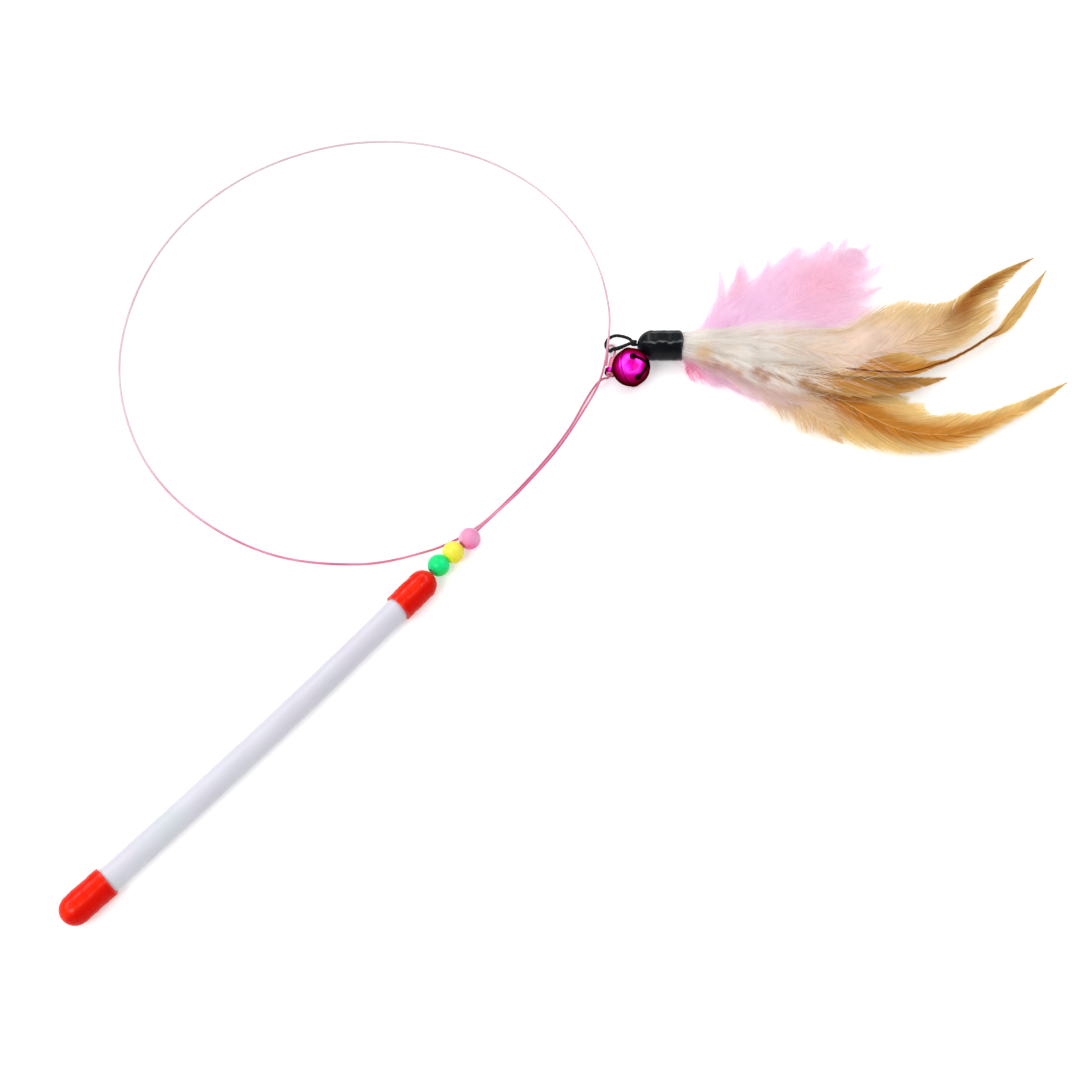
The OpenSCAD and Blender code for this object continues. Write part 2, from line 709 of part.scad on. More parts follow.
module white_feather_3() {
    feather(white_3_shares, white_3_slot_shares, hackle_share, [0.9, 0.87, 0.82]);
}
module pink_plume_1() {
    feather(pink_1_shares, pink_1_slot_shares, plume_share, [0.96, 0.74, 0.87]);
}
module pink_plume_2() {
    feather(pink_2_shares, pink_2_slot_shares, plume_thin_share, [0.96, 0.74, 0.87]);
}
module pink_plume_3() {
    feather(pink_3_shares, pink_3_slot_shares, plume_thin_share, [0.97, 0.5, 0.78]);
}

handle_tube();
butt_cap();
tip_cap();
wire_plug();
wire_run();
wire();
eye_sleeve();
bead_green();
bead_yellow();
bead_pink();
bell_crown();
bell_base();
bell_ear();
bell_pea();
elastic_loop();
cord_knot();
cord_tail();
feather_cap();
quill_binding();
ginger_feather_1();
ginger_feather_2();
ginger_feather_3();
ginger_feather_4();
ginger_feather_5();
white_feather_1();
white_feather_2();
white_feather_3();
pink_plume_1();
pink_plume_2();
pink_plume_3();
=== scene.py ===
import math

import bmesh
import bpy
import numpy as np
from mathutils import Matrix, Vector


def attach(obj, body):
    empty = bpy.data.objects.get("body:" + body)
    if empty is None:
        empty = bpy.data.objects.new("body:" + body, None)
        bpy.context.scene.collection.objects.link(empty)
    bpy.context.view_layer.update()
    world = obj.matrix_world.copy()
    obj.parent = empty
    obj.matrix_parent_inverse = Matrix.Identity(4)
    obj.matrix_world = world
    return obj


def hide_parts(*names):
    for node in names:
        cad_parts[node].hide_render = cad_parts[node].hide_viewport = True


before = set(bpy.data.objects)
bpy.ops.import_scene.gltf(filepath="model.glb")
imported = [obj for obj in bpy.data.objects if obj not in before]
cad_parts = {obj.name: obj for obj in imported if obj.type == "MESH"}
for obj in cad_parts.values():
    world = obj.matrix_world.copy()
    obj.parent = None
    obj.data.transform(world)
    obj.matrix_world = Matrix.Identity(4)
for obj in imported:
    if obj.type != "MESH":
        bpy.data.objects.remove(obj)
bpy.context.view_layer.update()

MM = 0.001

# ---- sizes and frames, as in the part's source
HANDLE_GRIP, HANDLE_BOW, HANDLE_R = 133.0, 0.9, 4.5
CAP_LEN, CAP_R = 18.0, 5.5
CAP_BORE = HANDLE_R - 0.02  # the vinyl is stretched over the tube
BOW_R = (HANDLE_GRIP ** 2 / 4 + HANDLE_BOW ** 2) / (2 * HANDLE_BOW)
BOW_ANGLE = 2 * math.asin(HANDLE_GRIP / 2 / BOW_R)
WIRE_D, CORD_D = 0.9, 1.2
BEAD_R, BEAD_HALF, BEAD_HOLE_R = 4.1, 3.7, 1.0
SLEEVE_D, SLEEVE_BORE, SLEEVE_LEN, SLEEVE_START = 3.0, 1.4, 8.0, -2.2
FERRULE_R, FERRULE_LEN, FERRULE_WALL, CORD_HOLE_R = 6.1, 17.8, 1.1, 1.2
THREAD_D, THREAD_R, THREAD_START, THREAD_TURNS = 0.6, 4.65, 9.6, 11
BINDING_INNER = FERRULE_R - FERRULE_WALL - THREAD_D - 0.05
REACH = 160.0
FLOOR = -5.5


def place(x=0.0, y=0.0, z=0.0):
    return Matrix.Translation((x, y, z))


def turn(a):
    return Matrix.Rotation(math.radians(a), 4, "Z")


TIP = place(BOW_R * math.sin(BOW_ANGLE), BOW_R * (1 - math.cos(BOW_ANGLE))) @ turn(math.degrees(BOW_ANGLE))
STEM = TIP @ place(CAP_LEN, 0.8) @ turn(-1.8)
EYE_AT = (114.24, 12.96, -3.4)
EYE_TURN = 31.0
EYE = STEM @ place(*EYE_AT) @ turn(EYE_TURN)
LURE = STEM @ place(128.15, 11.4, FLOOR + FERRULE_R + 0.1) @ turn(-47.15)
FERRULE = LURE @ place(FERRULE_LEN) @ turn(180)

WIRE_ROUTE = [
    (-20, -4, 0), (-19.6, -0.8, 0), (-17.5, 0, 0), (-14, 0, 0), (40, 0, 0), (47, 0, 0), (70, 2, 0),
    (90, 6.4, 0), (106, 11.5, 0), (122, 21.4, 0), (136, 33.5, -0.8), (151, 54, -2), (161, 78, -3.3),
    (164.8, 106, -4.5), (160, 134, -5), (144, 163.5, -5), (118, 186, -5), (84, 198.5, -5),
    (47, 198, -5), (12, 184.5, -5), (-18, 159.5, -5), (-37, 125, -5), (-42, 90, -5), (-34, 53, -5),
    (-14, 24.5, -5), (8, 9.2, -5), (24, 3.7, -5), (40, 2.6, -5), (66, 4.3, -5), (84, 7.3, -4.8),
    (99, 11.6, -4.3), (106, 12.9, -3.8), (109.5, 12.4, -3.5),
]
EYE_ROUTE = [
    (-4, 0.6, 0), (-2.3, 0, 0), (9.6, 0, 0), (11.3, 0.5, 0.1), (11.9, 1.6, 0.3), (11.1, 2.8, 0.6),
    (9.6, 3.1, 0.7), (5.6, 2.4, 0.6), (1.6, 2.1, 0.4),
]
LOOP_ROUTE = [
    (11.7, -5.4, 3.7), (11.1, -3.9, 3), (10.4, -2.35, 2.3), (9.8, -1, 1.8), (9.6, 0, 1.55),
    (9.55, 1, 1.1), (9.5, 1.5, 0.3), (9.6, 1.7, -0.5), (10, 2.35, -1.1), (10.9, 3.2, -1.35),
    (12, 4.1, -1.2), (13.3, 4.35, -0.7), (14.6, 3.85, 0), (15.6, 2.6, 0.8), (16, 0.85, 1.6),
    (15.6, -1.3, 2.4), (14.85, -3.45, 3.1), (14, -5, 3.6), (13.2, -5.75, 3.8),
]


def unit(v):
    """Vectors made one long."""
    return v / np.maximum(np.linalg.norm(v, axis=-1, keepdims=True), 1e-9)


def smooth(points, steps):
    """The same smooth curve as in the part's source, with more steps."""
    p = np.array(points, float)
    last = len(p) - 1
    slope = unit(np.array([p[min(i + 1, last)] - p[max(i - 1, 0)] for i in range(last + 1)]))
    out = []
    for i in range(last):
        reach = np.linalg.norm(p[i + 1] - p[i])
        a, b = slope[i] * reach, slope[i + 1] * reach
        for k in range(steps):
            u = k / steps
            out.append((2 * u ** 3 - 3 * u * u + 1) * p[i] + (u ** 3 - 2 * u * u + u) * a
                       + (3 * u * u - 2 * u ** 3) * p[i + 1] + (u ** 3 - u * u) * b)
    out.append(p[last])
    return np.array(out)


def moved(points, m):
    """Points in millimetres in a frame m, as metres in the row frame."""
    r = np.array(m.to_3x3())
    return (np.asarray(points, float) @ r.T + np.array(m.translation)) * MM


def added(name, data):
    """A new object in the scene."""
    ob = bpy.data.objects.new(name, data)
    bpy.context.scene.collection.objects.link(ob)
    return ob


def heading(azimuth, elevation):
    """The direction with an azimuth and an elevation in degrees."""
    a, e = math.radians(azimuth), math.radians(elevation)
    return Vector((math.cos(a) * math.cos(e), math.sin(a) * math.cos(e), math.sin(e)))


# ---- camera
AIM = Vector((0.190778, -0.011550, -0.0055))
HEADING, ELEVATION, DISTANCE = 44.151, 62.0, 0.506
look = heading(HEADING, -ELEVATION)
cam_data = bpy.data.cameras.new("camera")
cam_data.lens = 45.0
cam_data.sensor_width = 36.0
cam_data.clip_start = 0.01
cam_data.clip_end = 20.0
camera = added("camera", cam_data)
camera.location = AIM - look * DISTANCE
camera.rotation_euler = look.to_track_quat("-Z", "Y").to_euler()
bpy.context.scene.camera = camera


# ---- materials
def tone(value):
    """A colour as light, from a grey, from its light itself or from a hex code as it is seen."""
    if isinstance(value, str):
        return tuple((c / 255 / 12.92) if c <= 10 else ((c / 255 + 0.055) / 1.055) ** 2.4
                     for c in bytes.fromhex(value))
    return value if isinstance(value, tuple) else (value,) * 3


class Nodes:
    """Short ways to build the nodes of a material or of the world round its main shader."""

    def __init__(self, owner, shader="BsdfPrincipled"):
        self.owner = owner
        owner.use_nodes = True
        self.tree = owner.node_tree
        self.tree.nodes.clear()
        self.out = self.add("OutputWorld" if isinstance(owner, bpy.types.World) else "OutputMaterial")
        self.shader = self.add(shader)
        self.finish(self.shader)

    def finish(self, shader):
        self.tree.links.new(shader.outputs[0], self.out.inputs[0])

    def feed(self, socket, value):
        """Links a socket to another one, or sets it to a number, a vector or a colour."""
        if isinstance(value, bpy.types.NodeSocket):
            self.tree.links.new(value, socket)
        else:
            socket.default_value = (*tone(value), 1) if socket.type == "RGBA" else value

    def add(self, kind, inputs=(), **props):
        """A node with its inputs, by name or number, linked or set."""
        n = self.tree.nodes.new("ShaderNode" + kind)
        for k, v in props.items():
            setattr(n, k, v)
        for key, value in dict(inputs).items():
            self.feed(n.inputs[key], value)
        return n

    def set(self, **values):
        for k, v in values.items():
            self.feed(self.shader.inputs[k.replace("_", " ")], v)

    def coords(self, stretch=(1, 1, 1), turned=(0, 0, 0)):
        place_on = self.add("TexCoord").outputs["Object"]
        rotation = [math.radians(a) for a in turned]
        return self.add("Mapping", {"Vector": place_on, "Scale": stretch, "Rotation": rotation}).outputs[0]

    def noise(self, scale, detail=3.0, rough=0.55, distortion=0.0, stretch=(1, 1, 1), vector=None):
        if vector is None:
            vector = self.coords(stretch)
        return self.add("TexNoise", {"Scale": scale, "Detail": detail, "Roughness": rough,
                                     "Distortion": distortion, "Vector": vector}).outputs["Fac"]

    def ramp(self, fac, *stops):
        """A ramp through (position, colour or grey)."""
        r = self.add("ValToRGB", {0: fac})
        while len(r.color_ramp.elements) < len(stops):
            r.color_ramp.elements.new(0.5)
        for e, (at, colour) in zip(r.color_ramp.elements, stops):
            e.position = at
            e.color = (*tone(colour), 1)
        return r.outputs[0]

    def mix(self, fac, a, b, blend="MIX"):
        return self.add("Mix", {0: fac, 6: a, 7: b}, data_type="RGBA", blend_type=blend).outputs[2]

    def attribute(self, name):
        return self.add("Attribute", attribute_name=name).outputs["Fac"]

    def math(self, op, a, b):
        return self.add("Math", {0: a, 1: b}, operation=op).outputs[0]

    def vector(self, op, a, b):
        return self.add("VectorMath", {0: a, 1: b}, operation=op).outputs["Value"]

    def bump(self, height, strength, distance):
        b = self.add("Bump", {"Strength": strength, "Distance": distance, "Height": height})
        self.feed(self.shader.inputs["Normal"], b.outputs[0])


def material(name, shader="BsdfPrincipled"):
    return Nodes(bpy.data.materials.new(name), shader)


def grained(name, scale, stops, relief=None, **values):
    """A grain of a few colours and, if given, a finer one in relief by (scale, strength, distance)."""
    n = material(name)
    n.set(Base_Color=n.ramp(n.noise(scale), *stops), **values)
    if relief:
        n.bump(n.noise(relief[0], 2), *relief[1:])
    return n.owner


def pearl_material():
    n = material("pearl_tube")
    base = n.ramp(n.noise(140, stretch=(0.35, 1, 1)), (0.3, "cccbd8"), (0.7, "d8d7e2"))
    sheen = n.ramp(n.noise(60, 2), (0.3, "e4d5e2"), (0.5, "dcdce6"), (0.7, "d3e1df"))
    n.set(Base_Color=n.mix(0.35, base, sheen), Roughness=0.32, Coat_Weight=0.35, Coat_Roughness=0.12, IOR=1.5)
    n.bump(n.noise(900, 2, stretch=(0.15, 1, 1)), 0.05, 0.0001)
    return n.owner


def vinyl_material(name, dark, mid, light, painted_shading, rough, wrinkle):
    """Dipped vinyl: its gloss and the share of a second colour, painted shading mixed into the base colour (painted
    shade on the red caps, painted highlights on the black cap), are written on the mesh by paint.
    """
    n = material(name)
    blotch = n.noise(170)
    plain = n.ramp(blotch, (0.25, dark), (0.5, mid), (0.8, light))
    n.set(Base_Color=n.mix(n.attribute("painted_shading"), plain, painted_shading), Specular_IOR_Level=n.attribute("gloss"),
          Roughness=n.ramp(blotch, (0.2, rough * 0.8), (0.8, rough * 1.35)))
    rumple = n.noise(420, 3, 0.6, 0.4, (0.6, 1, 1))
    n.bump(n.math("ADD", n.math("MULTIPLY", n.noise(2600, 2), 0.12), rumple), wrinkle, 0.0006)
    return n.owner


def coated_wire_material():
    """Pink, and paler on the loop's far side, as it looks in the photograph."""
    n = material("coated_wire")
    grain = n.noise(45)
    near = n.ramp(grain, (0.3, "ca507a"), (0.5, "d87094"), (0.72, "eca0b8"))
    far = n.ramp(grain, (0.3, "debac8"), (0.72, "ead4dc"))
    far_side = n.vector("DOT_PRODUCT", n.coords(), (0.35, 1.0, 0.0))
    n.set(Base_Color=n.mix(n.ramp(far_side, (0.09, 0), (0.13, 0.45), (0.167, 1)), near, far),
          Roughness=0.36, Specular_IOR_Level=0.3)
    n.bump(n.noise(1500, 2), 0.12, 0.00005)
    return n.owner


def painted_shade_side(n):
    """From 1 on faces turned to the photograph's lower edge to -1 on those turned away from it."""
    # used for painted shade: the beads and the bell are drawn darker on faces turned this way
    return n.vector("DOT_PRODUCT", n.add("NewGeometry").outputs["Normal"], (-0.634, -0.615, -0.469))


def bead_material(name, dark, light, deep):
    n = material(name)
    swirl = n.ramp(n.noise(210, 2, 0.5, 0.6), (0.3, dark), (0.7, light))
    # painted shade: on faces turned to the lower side the colour turns to the deeper one
    n.set(Base_Color=n.mix(n.ramp(painted_shade_side(n), (0.15, 0), (0.75, 1)), swirl, deep), Roughness=0.3,
          Subsurface_Weight=0.15, Subsurface_Scale=0.001, Specular_IOR_Level=0.22)
    n.bump(n.noise(1400, 2), 0.06, 0.0001)
    return n.owner


def bell_material():
    """Dyed lacquer on bright metal, with painted reflection and painted shade: a ramp over how squarely a face is seen
    paints a bright ring and darkens towards the rim, and faces turned to the lower side are painted darker.
    """
    n = material("magenta_lacquer")
    face = n.add("LayerWeight", {"Blend": 0.5}).outputs["Facing"]
    slant = n.math("ADD", face, n.math("MULTIPLY", n.math("SUBTRACT", n.noise(150, 2), 0.5), 0.3))
    # painted shade: darker on faces turned to the lower side
    slant = n.math("ADD", slant, n.math("MULTIPLY", painted_shade_side(n), 0.15))
    # painted reflection in the bright ring near 0.1, and painted shade deepening towards the rim
    n.set(Base_Color=n.ramp(slant, (0.0, "f014c4"), (0.04, "ec04a0"), (0.1, "fa3cec"),
                            (0.16, "e210ba"), (0.24, "b00068"), (0.38, "800040"),
                            (0.56, "5c002a"), (1.0, "320018")),
          Roughness=n.ramp(n.noise(700), (0.3, 0.17), (0.75, 0.28)), Metallic=1.0, Specular_Tint=(0.35, 0.02, 0.15))
    n.bump(n.noise(420, 2), 0.08, 0.0003)
    return n.owner


def braid_material():
    """The elastic's woven cover: fine slanted ribs both ways."""
    n = material("braided_elastic")
    ribs = [n.add("TexWave", {"Scale": 520, "Distortion": 1.5, "Vector": n.coords(turned=(0, 0, a))},
                  wave_type="BANDS", bands_direction="DIAGONAL").outputs["Fac"] for a in (20, 110)]
    weave = n.math("MAXIMUM", *ribs)
    n.set(Base_Color=n.ramp(weave, (0.2, (0.002, 0.002, 0.0025)), (0.9, (0.009, 0.009, 0.011))),
          Roughness=0.6, Specular_IOR_Level=0.15)
    n.bump(weave, 0.5, 0.00015)
    return n.owner


def feather_material(name, stops, edge, edge_at, shaft, spread, sheen=0.1, core=None, lit=0.3, glow=0.0,
                     stain=None, mottle=0.6, marks=()):
    """Colours by the place along the feather, another at its edge, and a streak for each barb.

    shaft is the shaft's colour or its stops, and spread the streaks' strength;
    core is a darker colour beside the shaft, how narrow it is and the stretch that has it;
    lit is the share of light let through, and glow the light scattered inside deep down more often
    than the renderer follows it;
    stain is a colour that shows in soft patches, and mottle the strength of darker and lighter places;
    marks are tinted spots (along, across, radius, colour), in thousandths of the reach and millimetres."""
    n = material(name)
    along, across, own = (n.attribute(key) for key in ("along", "across", "own"))
    colour = n.ramp(along, *stops)
    if core:
        tint, narrow, stretch = core
        beside = n.ramp(n.math("MULTIPLY", across, narrow), (0.0, 1), (0.45, 0.9), (1.0, 0))
        colour = n.mix(n.math("MULTIPLY", beside, n.ramp(along, *stretch)), colour, tint)
    colour = n.mix(n.ramp(across, (edge_at, 0), (1.0, 1)), colour, edge)
    if stain:
        place_on = n.add("CombineXYZ", {0: n.math("MULTIPLY", along, 7.0), 1: n.math("MULTIPLY", own, 5.0)})
        patches = n.noise(1.0, 2, vector=place_on.outputs[0])
        colour = n.mix(n.ramp(patches, (0.57, 0), (0.7, 0.85)), colour, stain)
    for x, y, radius, tint in marks:
        away = n.vector("DISTANCE", n.coords(), (LURE @ Vector((x / 1000 * REACH, y / 1000 * REACH, 2.0))) * MM)
        ragged = n.math("ADD", away, n.math("MULTIPLY", n.math("SUBTRACT", own, 0.5), 0.003))
        colour = n.mix(n.ramp(n.math("DIVIDE", ragged, radius * MM), (0.3, 0.85), (1.0, 0)), colour, tint)
    streak = n.ramp(own, (0.0, 1 - spread), (0.5, 1), (1.0, 1 + spread * 0.45))
    colour = n.mix(1.0, colour, streak, "MULTIPLY")
    blotch = n.ramp(n.noise(90, 2), (0.3, (0.88, 0.85, 0.81)), (0.7, 1.06))
    colour = n.mix(mottle, colour, n.mix(1.0, colour, blotch, "MULTIPLY"))
    on_shaft = n.ramp(along, *shaft) if isinstance(shaft, list) else shaft
    colour = n.mix(n.attribute("shaft"), colour, on_shaft)
    n.set(Base_Color=colour, Roughness=0.55, Sheen_Weight=sheen, Sheen_Roughness=0.35, Specular_IOR_Level=0.3)
    if glow:
        n.set(Emission_Color=colour, Emission_Strength=glow)
    through = n.add("BsdfTranslucent", {"Color": colour})
    n.finish(n.add("MixShader", {0: lit, 1: n.shader.outputs[0], 2: through.outputs[0]}))
    return n.owner


MAT = {
    "pearl": pearl_material(),
    # red vinyl: de0c00 is the deep red of the painted shade on the caps' lower side
    "red": vinyl_material("red_vinyl", "e41602", "f22206", "fa300c", "de0c00", 0.2, 0.12),
    # black vinyl: (0.26, 0.27, 0.29) is the light grey of the painted highlights on the cap's folds, crest and dome
    "black": vinyl_material("black_vinyl", (0.003, 0.0035, 0.005), (0.004, 0.005, 0.007), (0.007, 0.009, 0.012),
                            (0.26, 0.27, 0.29), 0.22, 0.16),
    "wire": coated_wire_material(),
    "sleeve": grained("vinyl_sleeve", 480, [(0.3, "d65c84"), (0.5, "f080a4"), (0.75, "fa9eba")],
                      (900, 0.25, 0.0002), Roughness=0.3, Subsurface_Weight=0.25, Subsurface_Scale=0.0006,
                      Coat_Weight=0.2, Subsurface_Radius=(1.0, 0.5, 0.5)),
    # the third colour of each bead is its painted shade on the lower side
    "green": bead_material("green_bead", "00e274", "04f698", "00de54"),
    "yellow": bead_material("yellow_bead", "f6ea3c", "fcf660", "fce818"),
    "pink": bead_material("pink_bead", "f090c0", "f6b4d6", "f66cac"),
    "bell": bell_material(),
    "steel": grained("plain_steel", 500, [(0.3, (0.4, 0.4, 0.42)), (0.7, (0.6, 0.6, 0.62))],
                     Metallic=1.0, Roughness=0.3),
    "plug": grained("moulded_plug", 300, [(0.3, "e2e0d8"), (0.7, "f0eee8")], (1800, 0.1, 0.0001),
                    Roughness=0.5),
    "braid": braid_material(),
    "thread": grained("cotton_thread", 1500, [(0.3, "cec8ba"), (0.7, "e8e4d8")], (3000, 0.4, 0.0001),
                      Roughness=0.8, Sheen_Weight=0.2),
}


# ---- mesh helpers
def coat(me, mat):
    """Gives a mesh its only material and smooth shading."""
    me.materials.clear()
    me.materials.append(mat)
    me.polygons.foreach_set("use_smooth", [True] * len(me.polygons))


def mesh_object(name, verts, faces, mat):
    me = bpy.data.meshes.new(name)
    me.from_pydata([tuple(v) for v in verts], [], faces)
    me.validate()
    coat(me, mat)
    return added(name, me)


def ring_faces(rings, sides, closed=False):
    """The faces between rings of points; closed joins the last ring to the first."""
    faces = []
    for r in range(rings if closed else rings - 1):
        near, far = r * sides, (r + 1) % rings * sides
        for k in range(sides):
            j = (k + 1) % sides
            faces.append((near + k, near + j, far + j, far + k))
    return faces


def dress(ob, body, slot_name, *nodes):
    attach(ob, body)
    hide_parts(*nodes)


def spun(name, profile, m, mat, sides, wobble=lambda along, radius, a: (0, 1)):
    """A closed outline of (along, radius) points in millimetres, spun about the frame's X axis.

    wobble moves a point along and multiplies its radius."""
    rows = []
    for along, radius in profile:
        for k in range(sides):
            a = 2 * math.pi * k / sides
            shift, grown = wobble(along, radius, a)
            rows.append((along + shift, radius * math.cos(a) * grown, radius * math.sin(a) * grown))
    ob = mesh_object(name, moved(rows, m), ring_faces(len(profile), sides, closed=True), mat)
    bm = bmesh.new()
    bm.from_mesh(ob.data)
    bmesh.ops.remove_doubles(bm, verts=bm.verts, dist=1e-7)
    bmesh.ops.recalc_face_normals(bm, faces=bm.faces)
    bm.to_mesh(ob.data)
    bm.free()
    return ob


def swept(name, centre, radii, mat, sides=12, twist=0.0):
    """A tube along points in metres, with a radius in metres at each, closed at both ends."""
    c = np.asarray(centre, float)
    t = unit(np.gradient(c, axis=0))
    up = np.array([0.0, 0.0, 1.0]) if abs(t[0][2]) < 0.9 else np.array([0.0, 1.0, 0.0])
    side = unit(np.cross(up, t[0]))
    verts = []
    for i in range(len(c)):
        side = unit(side - t[i] * side.dot(t[i]))
        high = np.cross(t[i], side)
        for k in range(sides):
            a = 2 * math.pi * k / sides + twist * i
            verts.append(c[i] + radii[i] * (math.cos(a) * side + math.sin(a) * high))
    faces = ring_faces(len(c), sides)
    faces.append(tuple(reversed(range(sides))))
    faces.append(tuple((len(c) - 1) * sides + k for k in range(sides)))
    return mesh_object(name, verts, faces, mat)


def waves(*terms):
    """A smooth wobble from a few sine waves: (amount, per length, per turn, shift)."""
    def at(x, a):
        return sum(m * math.sin(f * x + w * a + s) for m, f, w, s in terms)
    return at


def bell_curve(x, middle, width):
    return math.exp(-((x - middle) / width) ** 2)


# ---- spring wire
eye_turned = Matrix.Rotation(math.radians(EYE_TURN), 3, "Z")
wire_mm = WIRE_ROUTE + [tuple(Vector(EYE_AT) + eye_turned @ Vector(p)) for p in EYE_ROUTE]
wire_line = moved(smooth(wire_mm, 14), STEM)
wire_curve = bpy.data.curves.new("wire_line", "CURVE")
wire_curve.dimensions = "3D"
spline = wire_curve.splines.new("POLY")
spline.points.add(len(wire_line) - 1)
for point, co in zip(spline.points, wire_line):
    point.co = (*co, 1)
wire_curve.bevel_depth = WIRE_D / 2 * MM
wire_curve.bevel_resolution = 3
wire_curve.use_fill_caps = True
wire_curve.materials.append(MAT["wire"])
wire = added("spring_wire", wire_curve)
dress(wire, "wand", "wire_pink", "wire_run", "wire")


# ---- solids that stay as they are
for part, key in (("handle_tube", "pearl"), ("wire_plug", "plug"), ("bell_crown", "bell"), ("bell_base", "bell"),
                  ("bell_ear", "bell"), ("bell_pea", "steel")):
    coat(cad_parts[part].data, MAT[key])


# ---- red caps
def cap_profile(length, outer, inner, hole, lip):
    """Outside from the rim to the dome, then inside back, as (along, radius) with the mouth at zero."""
    centre = length - outer

    def dome(radius, degrees):
        slants = [math.radians(a) for a in degrees]
        return [(centre + radius * math.sin(a), radius * math.cos(a)) for a in slants if radius * math.cos(a) > hole]

    rim = [(lip * (1 - math.cos(a)), outer - lip + lip * math.sin(a)) for a in (0.0, 0.5, 1.0, math.pi / 2)]
    wall = [(x, outer) for x in np.linspace(lip * 1.5, centre, 22)]
    ends = [(centre + math.sqrt(outer * outer - hole * hole), hole),
            (centre + math.sqrt(max(inner * inner - hole * hole, 0.01)), hole)]
    return (rim + wall + dome(outer, np.linspace(3, 88, 22)) + ends + dome(inner, np.linspace(85, 3, 14))
            + [(x, inner) for x in np.linspace(centre, lip, 10)])


red_wave = waves((0.05, 0.9, 2, 0.3), (0.035, 1.7, 3, 1.1), (0.03, 0.5, 5, 2.0), (0.02, 3.1, 1, 0.4))


def red_wobble(sign):
    """An uneven wall with a shallow crease along its lower side, and an uneven mouth."""
    def at(along, radius, a):
        if radius < CAP_BORE - 0.03:
            return 0, 1
        bulge = red_wave(along * sign, a) - 0.06 - 0.16 * bell_curve(a, 5.1, 0.16) * bell_curve(along, 7, 6)
        return 0.12 * math.sin(2 * a + sign) * max(1.5 - along, 0), (radius + min(bulge, 0.04)) / radius
    return at


def paint(ob, m, values):
    """Writes what values says of (along, turn) in the frame m on the mesh: its gloss and its painted shading (painted
    shade on the red caps, painted highlights on the black cap).
    """
    back = m.inverted()
    gloss, painted_shading = [], []
    for vertex in ob.data.vertices:
        local = back @ (vertex.co / MM)
        g, t = values(local.x, math.atan2(local.z, local.y) % (2 * math.pi))
        gloss.append(min(g, 1.0))
        painted_shading.append(min(max(t, 0.0), 1.0))
    for name, numbers in (("gloss", gloss), ("painted_shading", painted_shading)):
        ob.data.attributes.new(name, "FLOAT", "POINT").data.foreach_set("value", numbers)


def red_gloss_and_shade(middle, way):
    """Two long bright gloss lines that meet on the dome, and painted shade: the lower side's colour is mixed towards
    deep red.
    """
    upper, end = 0.58, CAP_LEN - 5.2

    def at(along, a):
        across = ((a - middle + math.pi) % (2 * math.pi) - math.pi) * way
        lower = 0.04 * math.sin(0.6 * along)
        if along < end:
            near = min(abs(across - upper) / 0.085, abs(across - lower) / 0.06)
        else:
            near = abs(math.hypot((along - end) / 5.5, across - upper / 2) - upper / 2) / 0.075
        line = 0.34 * math.exp(-near ** 2) * (0.7 + 0.3 * math.sin(1.3 * along + across * 3))
        if along > end + 3.2:
            line = 0.0
        mouth = 0.3 * bell_curve(along, 0.3, 0.3)
        # the second value is painted shade: it darkens the lower side's colour to deep red
        return 0.07 + line + mouth, 1 / (1 + math.exp((across + 0.12) / 0.07))
    return at


for name, node, m, way, middle in (("butt_vinyl", "butt_cap", turn(180), 1, 69.7),
                                   ("tip_vinyl", "tip_cap", TIP, -1, 110.3)):
    cap = spun(name, cap_profile(CAP_LEN, CAP_R, CAP_BORE, 0.02, 0.28), m, MAT["red"], 128, red_wobble(way))
    paint(cap, m, red_gloss_and_shade(math.radians(middle), way))
    dress(cap, "wand", "cap_red", node)


# ---- beads
def bead_profile(radius, half, hole):
    face = math.sqrt(radius * radius - half * half)
    top = math.asin(half / radius) - 0.06
    outside = [(radius * math.sin(a), radius * math.cos(a)) for a in np.linspace(-top, top, 30)]
    near = [(half - 0.02, face - 0.12), (half, face - 0.28), (half - 0.1, hole + 0.22), (half - 0.42, hole)]
    far = [(-x, r) for x, r in reversed(near)]
    return outside + near + far


bead_play = BEAD_HOLE_R - WIRE_D / 2
for colour, along, y, z in (("green", 4.44, 0.65, -0.3), ("yellow", 11.94, 0.45, -0.55), ("pink", 20.18, -0.3, -0.6)):
    m = STEM @ place(along, y * bead_play, z * bead_play)
    bead = spun("%s_bead_round" % colour, bead_profile(BEAD_R, BEAD_HALF, BEAD_HOLE_R), m, MAT[colour], 72)
    dress(bead, "%s_bead" % colour, "bead_%s" % colour, "bead_%s" % colour)

# ---- sleeve
sleeve_wave = waves((0.05, 2.1, 1, 0.2), (0.04, 4.3, 2, 1.0))


def sleeve_wobble(along, radius, a):
    return 0, 1 + sleeve_wave(along, a) * (0.6 if radius > 1 else 0.2) / radius - 0.02


xs = np.linspace(0.0, SLEEVE_LEN, 20)
outside = [(SLEEVE_START + x, SLEEVE_D / 2 - (0.12 if x in (xs[0], xs[-1]) else 0)) for x in xs]
inside = [(SLEEVE_START + x, SLEEVE_BORE / 2) for x in reversed(xs)]
sleeve = spun("vinyl_sleeve", outside + inside, EYE, MAT["sleeve"], 32, sleeve_wobble)
dress(sleeve, "wand", "sleeve_pink", "eye_sleeve")

